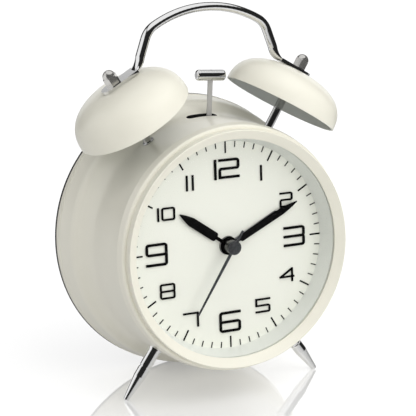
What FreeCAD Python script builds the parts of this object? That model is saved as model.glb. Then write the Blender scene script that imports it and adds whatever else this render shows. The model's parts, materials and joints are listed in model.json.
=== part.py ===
"""Twin bell alarm clock: drum case on two legs, dial with four hands, hammer, bells and handle.

Everything is modelled in the clock frame: X to the right, Y towards the back, Z up in the plane
of the dial, origin at the centre of the dial face.  The finished pieces are then leaned back
onto the leg tips and the lower rear edge, and centred over the origin.  Sizes are millimetres.
"""
import FreeCAD, Part
import math
import os

V = FreeCAD.Vector

# ---------------------------------------------------------------- stance
LEAN = 5.0

# ---------------------------------------------------------------- clearances
SEAT = 0.1
RUN = 0.05
FREE = 0.3
PIERCE = 5.0

# ---------------------------------------------------------------- drum case
BEZEL_R = 50.0
DRUM_STAND = 2.3
DRUM_FRONT_R = BEZEL_R + DRUM_STAND
DRUM_FRONT_Y = -4.4
DRUM_FLARE = 6.7
DRUM_REAR_R = DRUM_FRONT_R + DRUM_FLARE
DRUM_REAR_Y = 41.4
DRUM_NECK_RISE = 0.1
DRUM_NECK_Y = 17.5
DRUM_RIDGE_DROP = 1.4
DRUM_RIDGE_Y = 31.0
DRUM_RIDGE_SOFT = 2.2
DRUM_RIDGE_CUT = 0.35
DRUM_WALL = 0.8
BEAD_INSET = 0.55
BEAD_R = DRUM_FRONT_R - BEAD_INSET
BEAD_BOW = 0.15
BEAD_Y = -7.2
FLANGE_FRONT_Y = -8.3
FLANGE_TUCK = 0.8
FLANGE_INNER_R = BEZEL_R - FLANGE_TUCK
RING_STAND = 0.3
RING_R = DRUM_REAR_R + RING_STAND
RING_REAR_Y = 44.7
RING_WALL = 1.6
RING_LIP = 2.8

# ---------------------------------------------------------------- bezel, lens and dial
BEZEL_WIDTH = 4.0
BEZEL_CREST_Y = -12.2
BEZEL_INNER_R = BEZEL_R - BEZEL_WIDTH
BEZEL_INNER_Y = -9.7
BEZEL_LIP = 0.5
BEZEL_ROUND = 0.4
BEZEL_SPIGOT = 1.9
LENS_REBATE = 1.8
LENS_THICK = 1.5
SURROUND_STEP = 2.0
DIAL_R = BEZEL_INNER_R - SURROUND_STEP
SURROUND_EDGE = 1.6
SURROUND_WALL = 2.0
DIAL_THICK = 0.8
MARK_HEIGHT = 0.2
LONG_MARK = 4.85
LONG_MARK_WIDTH = 0.65
SHORT_MARK = 2.5
SHORT_MARK_WIDTH = 0.42
MARK_COUNT = 60
NUMERAL_HEIGHT = 0.6
BOLD_STROKE = 1.05
FINE_STROKE = 0.75
CORNER_SHARE = 0.85
FOUR_STEM_SHARE = 0.86
FOUR_BAR_SHARE = 0.37

# ---------------------------------------------------------------- bells, posts, nuts and handle
BELL_X = 34.05
BELL_Y = 14.6
BELL_Z = 55.05
BELL_TILT = 30.8
BELL_FORWARD = 2.66
BELL_R = 25.3
BELL_HEIGHT = 16.0
BELL_WALL = 0.9
BELL_POWER = 2.5
BELL_STEPS = 12
POST_R = 1.85
POST_FLANGE_R = 2.6
POST_FLANGE_THICK = 0.6
THREAD_R = 1.3
CAP_NUT_FLATS = 5.5
CAP_NUT_HEX = 3.9
CAP_NUT_TOTAL = 6.5
CLAMP_NUT_FLATS = 5.0
CLAMP_NUT_THICK = 2.2
WASHER_R = 3.0
WASHER_THICK = 0.5
TAB_WIDTH = 7.2
TAB_THICK = 1.25
TAB_OUTER = 6.0
TAB_INNER = 11.9
BAR_THICK = 3.75
BAR_WIDTH = 5.1
HANDLE_TOP_Z = 98.8
HANDLE_TOP_R = 48.0
SHOULDER_R = 9.5
LIMB_ANGLE = 19.5
TAB_BEND_R = 3.0

# ---------------------------------------------------------------- legs
LEG_Y = 9.24
LEG_ANGLE = 35.94
LEG_R = 2.6
LEG_TIP_R = 1.15
LEG_END = 76.9
LEG_TAPER = 11.0
LEG_GROOVE_FROM_COLLAR = 7.9
LEG_GROOVE_WIDTH = 0.7
LEG_GROOVE_DEPTH = 0.35
COLLAR_R = 2.95
COLLAR_STAND = 0.6
LEG_STUD_R = 1.5

# ---------------------------------------------------------------- hammer and its drive
PLANE_Y = 20.2
PIVOT_X = 2.1
PIVOT_Z = 41.4
HEAD_X = 4.15
HEAD_Z = 69.3
HEAD_R = 2.35
HEAD_LENGTH = 13.3
HEAD_ROUND = 1.1
HEAD_RING_DEPTH = 0.12
HEAD_RING_WIDTH = 0.3
ARM_WIDTH = 2.1
ARM_THICK = 0.8
ARM_HUB_R = 2.6
ARM_HUB_LENGTH = 1.8
FORK_REACH = 9.6
FORK_WIDTH = 5.2
SLOT_X = -0.5
SLOT_LENGTH = 14.0
SLOT_WIDTH = 4.4
PIVOT_PIN_R = 1.2
PIVOT_HEAD_R = 1.9
PIVOT_HEAD = 0.6
PIVOT_COLLAR_R = 1.5
PIVOT_BOSS_R = 2.9
CRANK_DROP = 8.4
CRANK_THROW = 1.55
CRANK_PIN_R = 0.7
CRANK_PIN_REACH = 1.2
CRANK_TEETH = 24
PINION_TEETH = 8
DRIVE_MODULE = 0.5
CRANK_THICK = 2.0
CRANK_HUB_R = 2.2
CRANK_ARBOR_R = 0.8
PINION_LENGTH = 2.6
MOTOR_ANGLE = 10.0
MOTOR_R = 10.0
MOTOR_LENGTH = 15.0
MOTOR_SHAFT_R = 0.9
MOTOR_BOSS_R = 3.0
MOTOR_ROUND = 1.0
TERMINAL_HALF = 1.0
TERMINAL_THICK = 0.2
TERMINAL_REACH = 1.6
CUP_WALL = 1.5
CUP_DEPTH = 5.0

# ---------------------------------------------------------------- chassis, rear cover and battery
CHASSIS_Y = 25.5
CHASSIS_THICK = 1.6
COVER_STAND = 0.15
COVER_R = RING_R + COVER_STAND
COVER_THICK = 1.2
COVER_SKIRT = 3.2
COVER_SKIRT_WALL = 1.4
STUD_CIRCLE = 46.0
STUD_ANGLES = (30.0, 150.0, 270.0)
STUD_R = 3.2
SCREW_R = 1.2
SCREW_HEAD_R = 2.3
SCREW_HEAD = 1.3
CROSS_REACH = 1.4
CROSS_HALF = 0.25
TUB_Z = -22.5
TUB_LENGTH = 58.0
TUB_HEIGHT = 31.5
TUB_DEPTH = 15.5
TUB_WALL = 1.5
CELL_R = 7.1
CELL_LENGTH = 49.0
CELL_TIP_R = 2.7
CELL_TIP = 1.3
CONTACT_THICK = 0.4
SPRING_R = 3.0
SPRING_WIRE_R = 0.35
SPRING_TURNS = 3
DOOR_MARGIN = 2.5
DOOR_GRIP_R = 4.0
DOOR_GRIP_DEPTH = 0.25
DOOR_RIB = 0.4
DOOR_RIB_THICK = 1.0
LEAF_MARGIN = 1.0
SWITCH_X = 27.0
SWITCH_Z = 25.0
SWITCH_TRAVEL = 4.0
SWITCH_LENGTH = 5.0
SWITCH_HEIGHT = 3.4
SWITCH_STAND = 2.2
SWITCH_FOOT = 1.0
SWITCH_GROOVE = 0.3
SWITCH_GROOVE_DEPTH = 0.5
SWITCH_BOX_LENGTH = 15.0
SWITCH_BOX_HEIGHT = 8.0
SWITCH_BOX_DEPTH = 5.0
KNOB_R = 7.0
KNOB_LENGTH = 7.5
KNOB_RIBS = 24
KNOB_RIB_R = 0.45
KNOB_ROUND = 0.8
KNOB_CLEAR = 1.0
KNOB_FACE = 2.0

# ---------------------------------------------------------------- movement
CASE_HALF = 24.0
CASE_FRONT_Y = DIAL_THICK
CASE_SPLIT_Y = 8.0
CASE_REAR_Y = 16.4
CASE_WALL = 1.2
CASE_CORNER = 4.0
BUSH_R = 3.9
BUSH_FRONT_Y = 0.0
ARBOR_R = 0.6
STEP_ARBOR_R = 0.5
MINUTE_PIPE_R = 1.5
HOUR_PIPE_R = 2.3
ALARM_PIPE_R = 3.1
SETTING_ARBOR_R = 1.0
SETTING_DISTANCE = 12.0
TIME_SET_ANGLE = 150.0
ALARM_SET_ANGLE = 30.0
THIRD_ANGLE = 270.0
STEP_ANGLE = 330.0
ALARM_WHEEL_TEETH = 36
ALARM_PINION_TEETH = 12
CANNON_TEETH = 12
MOTION_WHEEL_TEETH = 36
MOTION_PINION_TEETH = 10
HOUR_WHEEL_TEETH = 40
THIRD_DISTANCE = 11.2
CENTRE_WHEEL_TEETH = 48
TRAIN_PINION_TEETH = 8
THIRD_WHEEL_TEETH = 80
SECONDS_WHEEL_TEETH = 60
STEP_PINION_TEETH = 10
STEP_WHEEL_TEETH = 30
ROTOR_TEETH = 6
STEP_MODULE = 0.26
WHEEL_THICK = 0.9
PINION_OVER = 0.2
ALARM_WHEEL_Y = 2.5
HOUR_WHEEL_Y = 4.1
MOTION_WHEEL_Y = 5.8
CENTRE_WHEEL_Y = 7.6
THIRD_WHEEL_Y = 9.6
SECONDS_WHEEL_Y = 11.4
STEP_WHEEL_Y = 13.0
ROTOR_R = 2.0
STATOR_Y = 10.65
STATOR_THICK = 0.5
STATOR_RING = 1.4
STATOR_ARM = 2.1
COIL_X = 19.0
COIL_Y = 12.0
COIL_Z = 4.15
COIL_R = 2.95
COIL_CORE_R = 1.0
COIL_LENGTH = 17.5
BOARD_X = -17.0
BOARD_Z = -14.0
BOARD_WIDTH = 10.0
BOARD_HEIGHT = 16.0
BOARD_THICK = 1.0
BOARD_FOOT = 0.4
BOARD_FOOT_R = 0.8
CHIP_R = 2.2
CHIP_THICK = 0.8
CRYSTAL_R = 1.0
CRYSTAL_LENGTH = 6.0

# ---------------------------------------------------------------- hands
HAND_THICK = 0.3
ALARM_HAND_Y = -0.6
HOUR_HAND_Y = -1.2
MINUTE_HAND_Y = -1.8
SECOND_HAND_Y = -5.9
HOUR_TIP = 27.1
HOUR_BODY = 7.0
HOUR_SHOULDER = 20.6
HOUR_WIDTH = 3.9
HOUR_ANGLE = 305.3
MINUTE_TIP = 35.9
MINUTE_BODY = 5.6
MINUTE_WIDTH = 2.95
MINUTE_SHOULDER = 28.0
MINUTE_ANGLE = 64.4
ALARM_TIP = 25.7
ALARM_WIDTH = 2.0
ALARM_ANGLE = 63.0
SECOND_TIP = 31.9
SECOND_TAIL = 8.0
SECOND_TAIL_WIDTH = 1.0
SECOND_WIDE = 1.4
SECOND_NARROW = 0.75
SECOND_ANGLE = 213.0
NECK_WIDTH = 1.4
LANCE_SHARE = 0.64
HAND_HUB_R = 3.85
MINUTE_HUB_R = 3.35
BOSS_R = 2.9
CAP_R = 3.0
CAP_FRONT_Y = -6.5


# ================================================================ helpers
def cyl(x, z, radius, y0, y1):
    """Cylinder along Y from y0 to y1."""
    return Part.makeCylinder(radius, y1 - y0, V(x, y0, z), V(0, 1, 0))


def tube(x, z, outer, inner, y0, y1):
    """Tube along Y from y0 to y1."""
    return cyl(x, z, outer, y0, y1).cut(cyl(x, z, inner, y0 - PIERCE, y1 + PIERCE))


def block(x0, x1, y0, y1, z0, z1):
    """Box between two corners."""
    return Part.makeBox(x1 - x0, y1 - y0, z1 - z0, V(x0, y0, z0))


def fused(shapes):
    """All shapes as one solid, with coplanar faces merged."""
    result = shapes[0]
    for shape in shapes[1:]:
        result = result.fuse(shape)
    return result.removeSplitter()


def group(shapes):
    """Separate solids side by side in one node."""
    return Part.makeCompound(shapes)


def wire_of(start, steps):
    """Closed wire in the XY plane: a step is a point, or a pair (mid point, end) for an arc."""
    edges = []
    here = V(start[0], start[1], 0)
    for step in list(steps) + [start]:
        if isinstance(step[0], tuple):
            mid = V(step[0][0], step[0][1], 0)
            end = V(step[1][0], step[1][1], 0)
            edges.append(Part.Arc(here, mid, end).toShape())
        else:
            end = V(step[0], step[1], 0)
            if here.distanceToPoint(end) < 1e-6:
                continue
            edges.append(Part.LineSegment(here, end).toShape())
        here = end
    return Part.Wire(edges)


def turned(start, steps):
    """Solid of revolution about Y from a profile of (radius, y) points and arcs."""
    face = Part.Face(wire_of(start, steps))
    return face.revolve(V(0, 0, 0), V(0, 1, 0), 360)


def plate(points, y0, y1):
    """Flat plate between y0 and y1 with a polygon outline of (x, z) points."""
    corners = [V(x, y0, z) for x, z in points]
    face = Part.Face(Part.makePolygon(corners + corners[:1]))
    return face.extrude(V(0, y1 - y0, 0))


def polar(radius, degrees):
    """Point (x, z) at an angle counted from +X towards +Z."""
    angle = math.radians(degrees)
    return radius * math.cos(angle), radius * math.sin(angle)


def mirrored(shape):
    """The same piece on the left side."""
    return shape.mirror(V(0, 0, 0), V(1, 0, 0))


def pair(shape):
    """Right and left copies as two solids."""
    return group([shape, mirrored(shape)])


def on_axis(shape, origin, axis):
    """Piece built along its own +Z, carried to an axis through origin."""
    placed = shape.copy()
    placed.Placement = FreeCAD.Placement(origin, FreeCAD.Rotation(V(0, 0, 1), axis))
    return placed


def hexagon(flats, z0, z1):
    """Hexagonal prism about Z."""
    corner = flats / math.sqrt(3)
    points = [V(corner * math.cos(math.radians(60 * k)), corner * math.sin(math.radians(60 * k)), z0)
              for k in range(6)]
    return Part.Face(Part.makePolygon(points + points[:1])).extrude(V(0, 0, z1 - z0))


def gear(x, z, teeth, module, y0, y1, phase):
    """Toothed disc about Y with a tooth centred on the phase angle (degrees)."""
    pitch = teeth * module / 2
    root = pitch - 1.0 * module
    tip = pitch + 0.75 * module
    step = 360.0 / teeth
    points = []
    for k in range(teeth):
        middle = phase + k * step
        for radius, offset in ((root, -0.27), (tip, -0.1), (tip, 0.1), (root, 0.27)):
            px, pz = polar(radius, middle + offset * step)
            points.append((x + px, z + pz))
    return plate(points, y0, y1)


def gap_phase(teeth, degrees):
    """Phase that puts the middle of a tooth gap at the given angle."""
    return degrees + 180.0 / teeth


# ================================================================ shared geometry
NECK_R = DRUM_FRONT_R + DRUM_NECK_RISE
RIDGE_R = DRUM_REAR_R - DRUM_RIDGE_DROP
FLARE_RISE = RIDGE_R - NECK_R
FLARE_ARC_R = (FLARE_RISE ** 2 + (DRUM_RIDGE_Y - DRUM_NECK_Y) ** 2) / (2 * FLARE_RISE)


def drum_radius(y):
    """Outer radius of the drum at depth y: a straight neck, a flare in an arc, a rear band."""
    if y <= DRUM_NECK_Y:
        share = (y - DRUM_FRONT_Y) / (DRUM_NECK_Y - DRUM_FRONT_Y)
        return DRUM_FRONT_R + share * DRUM_NECK_RISE
    if y <= DRUM_RIDGE_Y:
        return NECK_R + FLARE_ARC_R - math.sqrt(FLARE_ARC_R ** 2 - (y - DRUM_NECK_Y) ** 2)
    share = (y - DRUM_RIDGE_Y) / (DRUM_REAR_Y - DRUM_RIDGE_Y)
    return RIDGE_R + share * DRUM_RIDGE_DROP


def drum_side(inset):
    """Points of the drum side from front to rear: neck, middle and end of the flare, ridge, band."""
    flare_end = DRUM_RIDGE_Y - DRUM_RIDGE_SOFT
    depths = (DRUM_FRONT_Y, DRUM_NECK_Y, (DRUM_NECK_Y + flare_end) / 2, flare_end, DRUM_RIDGE_Y,
              DRUM_RIDGE_Y + DRUM_RIDGE_SOFT, DRUM_REAR_Y)
    points = [(drum_radius(y) - inset, y) for y in depths]
    points[4] = (points[4][0] - DRUM_RIDGE_CUT, DRUM_RIDGE_Y)
    return points


def drum_filled(inset):
    """The drum side as one filled body, for trimming what stands on either face of the wall."""
    front, neck, flare, flare_end, ridge, band, rear = drum_side(inset)
    return turned((0, DRUM_FRONT_Y), [front, neck, (flare, flare_end), (ridge, band), rear,
                                      (0, DRUM_REAR_Y)])


def bell_axis():
    """Unit vector of the right bell's axis."""
    tilt = math.radians(BELL_TILT)
    forward = math.radians(BELL_FORWARD)
    return V(math.sin(tilt) * math.cos(forward), -math.sin(forward),
             math.cos(tilt) * math.cos(forward))


BELL_CENTRE = V(BELL_X, BELL_Y, BELL_Z)
LEG_AXIS = V(math.sin(math.radians(LEG_ANGLE)), 0, -math.cos(math.radians(LEG_ANGLE)))
LEG_ORIGIN = V(0, LEG_Y, 0)
ARM_ANGLE = math.atan2(HEAD_X - PIVOT_X, HEAD_Z - PIVOT_Z)
ARM_AXIS = V(math.sin(ARM_ANGLE), 0, math.cos(ARM_ANGLE))
PIVOT = V(PIVOT_X, PLANE_Y, PIVOT_Z)
WALL_AT_LEG = drum_radius(LEG_Y)
WALL_AT_BELL = drum_radius(BELL_Y)
POST_FOOT = -(math.hypot(BELL_X, BELL_Z) - WALL_AT_BELL)
COVER_REAR_Y = RING_REAR_Y + COVER_THICK
REST_DROP = (COVER_REAR_Y * math.sin(math.radians(LEAN))
             + COVER_R * math.cos(math.radians(LEAN)))
CHASSIS_REAR_Y = CHASSIS_Y + CHASSIS_THICK
CRANK_Z = PIVOT_Z - CRANK_DROP
CRANK_FRONT_Y = PLANE_Y + ARM_THICK / 2 + FREE + CRANK_PIN_REACH
CRANK_REAR_Y = CRANK_FRONT_Y + CRANK_THICK
MOTOR_DISTANCE = (CRANK_TEETH + PINION_TEETH) * DRIVE_MODULE / 2
MOTOR_X = PIVOT_X + polar(MOTOR_DISTANCE, MOTOR_ANGLE)[0]
MOTOR_Z = CRANK_Z + polar(MOTOR_DISTANCE, MOTOR_ANGLE)[1]
TIME_SET = polar(SETTING_DISTANCE, TIME_SET_ANGLE)
ALARM_SET = polar(SETTING_DISTANCE, ALARM_SET_ANGLE)
THIRD = polar(THIRD_DISTANCE, THIRD_ANGLE)
STEP_DISTANCE = (SECONDS_WHEEL_TEETH + STEP_PINION_TEETH) * STEP_MODULE / 2
ROTOR_DISTANCE = (STEP_WHEEL_TEETH + ROTOR_TEETH) * STEP_MODULE / 2
STEP = polar(STEP_DISTANCE, STEP_ANGLE)
ROTOR = polar(STEP_DISTANCE + ROTOR_DISTANCE, STEP_ANGLE)
KNOB_FRONT_Y = COVER_REAR_Y + 2 * FREE
KNOB_REAR_Y = KNOB_FRONT_Y + KNOB_LENGTH
TUB_FRONT_Y = RING_REAR_Y - TUB_DEPTH
CELL_Y = TUB_FRONT_Y + CELL_R + SEAT
CELL_SPACING = 2 * CELL_R + SEAT


# ================================================================ case
def case_shell():
    """Flared steel drum with a rolled bead in front and holes for hammer, posts and legs."""
    outer = drum_side(0)
    inner = drum_side(DRUM_WALL)
    front = FLANGE_FRONT_Y
    bead_mid = (BEAD_R - BEAD_BOW * (BEAD_R - BEZEL_R), (BEAD_Y + front) / 2 - BEAD_BOW)
    steps = [
        (BEZEL_R + FREE, front),
        (bead_mid, (BEAD_R, BEAD_Y)),
        outer[0],
        outer[1],
        (outer[2], outer[3]),
        (outer[4], outer[5]),
        outer[6],
        inner[6],
        inner[5],
        (inner[4], inner[3]),
        (inner[2], inner[1]),
        inner[0],
        (BEAD_R - DRUM_WALL, BEAD_Y),
        (BEZEL_R - SEAT, front + DRUM_WALL),
        (FLANGE_INNER_R, front + DRUM_WALL),
    ]
    shell = turned((FLANGE_INNER_R, front), steps)
    slot = block(SLOT_X - SLOT_LENGTH / 2 + SLOT_WIDTH / 2, SLOT_X + SLOT_LENGTH / 2 - SLOT_WIDTH / 2,
                 PLANE_Y - SLOT_WIDTH / 2, PLANE_Y + SLOT_WIDTH / 2,
                 DRUM_FRONT_R - PIERCE, DRUM_REAR_R)
    shell = shell.cut(slot)
    for side in (-1, 1):
        end_x = SLOT_X + side * (SLOT_LENGTH - SLOT_WIDTH) / 2
        end = Part.makeCylinder(SLOT_WIDTH / 2, DRUM_REAR_R - DRUM_FRONT_R + PIERCE,
                                V(end_x, PLANE_Y, DRUM_FRONT_R - PIERCE))
        shell = shell.cut(end)
    post_hole = Part.makeCylinder(THREAD_R + RUN, 2 * PIERCE, V(0, 0, POST_FOOT - PIERCE))
    post_hole = on_axis(post_hole, BELL_CENTRE, bell_axis())
    leg_hole = Part.makeCylinder(LEG_STUD_R + RUN, 2 * PIERCE, V(0, 0, WALL_AT_LEG - PIERCE))
    leg_hole = on_axis(leg_hole, LEG_ORIGIN, LEG_AXIS)
    for hole in (post_hole, leg_hole):
        shell = shell.cut(hole).cut(mirrored(hole))
    return shell


def front_bezel():
    """Ring with a face that slopes in towards the dial, and a spigot inside the drum flange."""
    side_y = FLANGE_FRONT_Y
    lip_y = BEZEL_INNER_Y + BEZEL_LIP
    rebate_r = BEZEL_INNER_R + LENS_REBATE
    spigot_r = FLANGE_INNER_R - SEAT
    round_r = BEZEL_R - BEZEL_ROUND
    bow = BEZEL_ROUND * (1 - math.sqrt(0.5))
    top_mid = (BEZEL_R - bow, BEZEL_CREST_Y + bow)
    return turned((BEZEL_INNER_R, BEZEL_INNER_Y), [
        (round_r, BEZEL_CREST_Y),
        (top_mid, (BEZEL_R, BEZEL_CREST_Y + BEZEL_ROUND)),
        (BEZEL_R, side_y),
        (spigot_r, side_y),
        (spigot_r, side_y + BEZEL_SPIGOT),
        (rebate_r, side_y + BEZEL_SPIGOT),
        (rebate_r, lip_y),
        (BEZEL_INNER_R, lip_y),
    ])


LENS_FRONT_Y = BEZEL_INNER_Y + BEZEL_LIP
LENS_REAR_Y = LENS_FRONT_Y + LENS_THICK


def lens():
    """Flat clear disc in the bezel's rebate."""
    return cyl(0, 0, BEZEL_INNER_R + LENS_REBATE - SEAT, LENS_FRONT_Y, LENS_REAR_Y)


def dial_surround():
    """Ring that slopes from the lens down to the dial, with a flange behind the drum's lip."""
    spigot_end = FLANGE_FRONT_Y + BEZEL_SPIGOT
    lip_rear = FLANGE_FRONT_Y + DRUM_WALL
    lens_seat_r = BEZEL_INNER_R + LENS_REBATE - SEAT
    flange_r = BEZEL_R - 2 * SEAT
    flange_rear = spigot_end + SURROUND_EDGE
    return turned((DIAL_R, 0), [
        (BEZEL_INNER_R, LENS_REAR_Y),
        (lens_seat_r, LENS_REAR_Y),
        (lens_seat_r, spigot_end + SEAT),
        (FLANGE_INNER_R, spigot_end + SEAT),
        (FLANGE_INNER_R, lip_rear),
        (flange_r, lip_rear),
        (flange_r, flange_rear),
        (BEZEL_INNER_R + SURROUND_WALL / 2, flange_rear),
        (DIAL_R + SURROUND_WALL, 0),
    ])


def rear_ring():
    """Rear rim of the case, with a spigot inside the drum."""
    inner = RING_R - RING_WALL
    spigot_r = drum_radius(DRUM_REAR_Y - RING_LIP) - DRUM_WALL - SEAT
    spigot_end = DRUM_REAR_Y - RING_LIP
    edge = BEZEL_ROUND
    return turned((DRUM_REAR_R - DRUM_WALL - SEAT, DRUM_REAR_Y), [
        (RING_R - edge, DRUM_REAR_Y),
        (RING_R, DRUM_REAR_Y + edge),
        (RING_R, RING_REAR_Y),
        (inner, RING_REAR_Y),
        (inner, spigot_end + SURROUND_EDGE),
        (spigot_r - SURROUND_EDGE, spigot_end),
        (spigot_r, spigot_end),
    ])


# ================================================================ dial
def dial_plate():
    """Metal disc behind the surround, with a hole for the movement's bush."""
    radius = drum_radius(0) - DRUM_WALL - FREE
    return tube(0, 0, radius, BUSH_R + SEAT, 0, DIAL_THICK)


def minute_marks():
    """Sixty radial strokes, longer and bolder at each hour."""
    marks = []
    for k in range(MARK_COUNT):
        is_hour = k % 5 == 0
        length = LONG_MARK if is_hour else SHORT_MARK
        width = LONG_MARK_WIDTH if is_hour else SHORT_MARK_WIDTH
        mark = block(-width / 2, width / 2, -MARK_HEIGHT, 0, DIAL_R - SEAT - length, DIAL_R - SEAT)
        marks.append(mark.rotate(V(0, 0, 0), V(0, 1, 0), 360 * k / MARK_COUNT))
    return group(marks)


def ribbon(path, width, closed=False):
    """Raised stroke along (x, z, corner radius) points; a corner radius of 0 stays sharp."""
    count = len(path)
    points = [V(p[0], 0, p[1]) for p in path]
    if closed:
        points = points + points[:1]
    half = width / 2
    trims = [0.0] * len(points)
    pieces = []
    for k in range(1, len(points) - 1):
        radius = path[k][2]
        if radius > 0:
            trims[k] = radius
            pieces.append(corner_piece(points[k - 1], points[k], points[k + 1], radius, half))
    if closed:
        radius = path[0][2]
        trims[0] = radius
        trims[-1] = radius
        pieces.append(corner_piece(points[count - 1], points[0], points[1], radius, half))
    last = len(points) - 1
    for k in range(last):
        start_free = k == 0 and not closed
        end_free = k == last - 1 and not closed
        start_shift = trims[k] if trims[k] else (0 if start_free else -half)
        end_shift = trims[k + 1] if trims[k + 1] else (0 if end_free else -half)
        run = points[k + 1] - points[k]
        direction = run.normalize()
        begin = points[k] + direction * start_shift
        finish = points[k + 1] - direction * end_shift
        side = V(direction.z, 0, -direction.x) * half
        outline = [begin + side, finish + side, finish - side, begin - side]
        pieces.append(plate([(p.x, p.z) for p in outline], -NUMERAL_HEIGHT, 0))
    return fused(pieces)


def corner_piece(before, corner, after, radius, half):
    """Quarter ring that rounds a right-angled corner of a stroke."""
    back = (before - corner).normalize()
    ahead = (after - corner).normalize()
    centre = corner + back * radius + ahead * radius
    ring = tube(centre.x, centre.z, radius + half, radius - half, -NUMERAL_HEIGHT, 0)
    reach = radius + half
    quarter = plate([(centre.x, centre.z),
                     (centre.x - back.x * reach, centre.z - back.z * reach),
                     (centre.x - (back.x + ahead.x) * reach, centre.z - (back.z + ahead.z) * reach),
                     (centre.x - ahead.x * reach, centre.z - ahead.z * reach)],
                    -NUMERAL_HEIGHT, 0)
    return ring.common(quarter)


def digit(name, x0, x1, z0, z1, width):
    """One figure drawn with strokes inside its box."""
    half = width / 2
    left, right = x0 + half, x1 - half
    low, high = z0 + half, z1 - half
    middle = (low + high) / 2
    turn = CORNER_SHARE * width
    if name == "1":
        return ribbon([((x0 + x1) / 2, z0, 0), ((x0 + x1) / 2, z1, 0)], width)
    if name == "2":
        return ribbon([(x0, high, 0), (right, high, turn), (right, middle, turn),
                       (left, middle, turn), (left, low, 0), (x1, low, 0)], width)
    if name == "3":
        loops = [ribbon([(x0, end, 0), (right, end, turn), (right, middle, turn), (x0, middle, 0)],
                        width) for end in (low, high)]
        return fused(loops)
    if name == "4":
        stem = x0 + FOUR_STEM_SHARE * (x1 - x0)
        bar = z0 + FOUR_BAR_SHARE * (z1 - z0)
        slope = ribbon([(stem, high, 0), (left, bar, 0)], width)
        upright = ribbon([(stem, z0, 0), (stem, z1, 0)], width)
        return fused([slope, upright, ribbon([(x0, bar, 0), (x1, bar, 0)], width)])
    if name == "5":
        return ribbon([(x1, high, 0), (left, high, 0), (left, middle, 0), (right, middle, turn),
                       (right, low, turn), (x0, low, 0)], width)
    if name == "6":
        return ribbon([(x1, high, 0), (left, high, turn), (left, low, turn), (right, low, turn),
                       (right, middle, turn), (left, middle, 0)], width)
    if name == "7":
        return ribbon([(x0, high, 0), (right, high, 0), (right, z0, 0)], width)
    if name == "8":
        boxes = [ribbon([(left, end, turn), (left, middle, turn), (right, middle, turn),
                         (right, end, turn)], width, closed=True) for end in (low, high)]
        return fused(boxes)
    if name == "9":
        return ribbon([(right, middle, 0), (left, middle, turn), (left, high, turn),
                       (right, high, turn), (right, low, turn), (x0, low, 0)], width)
    return ribbon([(left, low, turn), (left, high, turn), (right, high, turn),
                   (right, low, turn)], width, closed=True)


# Figure, box in x and z on the dial, stroke width.
NUMERALS = (
    ("1", -5.5, -4.4, 28.2, 36.7, BOLD_STROKE),
    ("2", -3.4, 6.2, 28.4, 36.7, BOLD_STROKE),
    ("1", 15.9, 16.8, 25.8, 32.4, FINE_STROKE),
    ("2", 24.9, 31.0, 13.2, 19.6, FINE_STROKE),
    ("3", 26.4, 36.5, -4.0, 4.6, BOLD_STROKE),
    ("4", 24.0, 31.0, -19.2, -13.2, FINE_STROKE),
    ("5", 12.1, 19.1, -31.0, -24.8, FINE_STROKE),
    ("6", -5.1, 4.9, -37.2, -28.3, BOLD_STROKE),
    ("7", -21.8, -14.7, -32.8, -26.4, FINE_STROKE),
    ("8", -31.9, -25.0, -19.2, -12.7, FINE_STROKE),
    ("9", -37.7, -27.9, -4.8, 4.7, BOLD_STROKE),
    ("1", -32.0, -31.0, 13.6, 19.3, FINE_STROKE),
    ("0", -30.0, -23.9, 13.7, 19.2, FINE_STROKE),
    ("1", -18.6, -17.6, 24.9, 31.4, FINE_STROKE),
    ("1", -15.9, -14.9, 24.9, 31.4, FINE_STROKE),
)


def hour_numerals():
    """The twelve raised hour figures."""
    return group([digit(*numeral) for numeral in NUMERALS])


# ================================================================ bells and handle
def dome_solid(radius, height):
    """Superellipse dome about +Z, widest at the rim on z = 0."""
    points = []
    for k in range(BELL_STEPS + 1):
        angle = math.pi / 2 * k / BELL_STEPS
        points.append(V(radius * math.cos(angle) ** (2 / BELL_POWER), 0,
                        height * math.sin(angle) ** (2 / BELL_POWER)))
    curve = Part.BSplineCurve()
    curve.interpolate(points)
    top = Part.LineSegment(points[-1], V(0, 0, 0)).toShape()
    base = Part.LineSegment(V(0, 0, 0), points[0]).toShape()
    face = Part.Face(Part.Wire([curve.toShape(), top, base]))
    return face.revolve(V(0, 0, 0), V(0, 0, 1), 360)


def right_bell():
    """Pressed steel dome with a hole for the bolt at its crown."""
    outer = dome_solid(BELL_R, BELL_HEIGHT)
    inner = dome_solid(BELL_R - BELL_WALL, BELL_HEIGHT - BELL_WALL)
    hole = Part.makeCylinder(THREAD_R + RUN, 2 * PIERCE, V(0, 0, BELL_HEIGHT - PIERCE))
    return on_axis(outer.cut(inner).cut(hole), BELL_CENTRE, bell_axis())


NUT_SEAT = BELL_HEIGHT + TAB_THICK


def right_post():
    """Turned post: flanged foot on the drum, shoulder up to the crown, threaded ends."""
    shoulder = Part.makeCylinder(POST_R, BELL_HEIGHT - BELL_WALL - SEAT - POST_FOOT + PIERCE,
                                 V(0, 0, POST_FOOT - PIERCE))
    flange = Part.makeCylinder(POST_FLANGE_R, POST_FLANGE_THICK + PIERCE,
                               V(0, 0, POST_FOOT - PIERCE))
    flange = flange.makeFillet(POST_FLANGE_THICK / 2, [flange.Edges[0]])
    shoulder = on_axis(shoulder.fuse(flange), BELL_CENTRE, bell_axis()).cut(drum_filled(0))
    stud_foot = POST_FOOT - DRUM_WALL - CLAMP_NUT_THICK - 2 * WASHER_THICK
    stud = Part.makeCylinder(THREAD_R, NUT_SEAT + CAP_NUT_HEX - stud_foot, V(0, 0, stud_foot))
    return fused([shoulder, on_axis(stud, BELL_CENTRE, bell_axis())])


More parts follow.
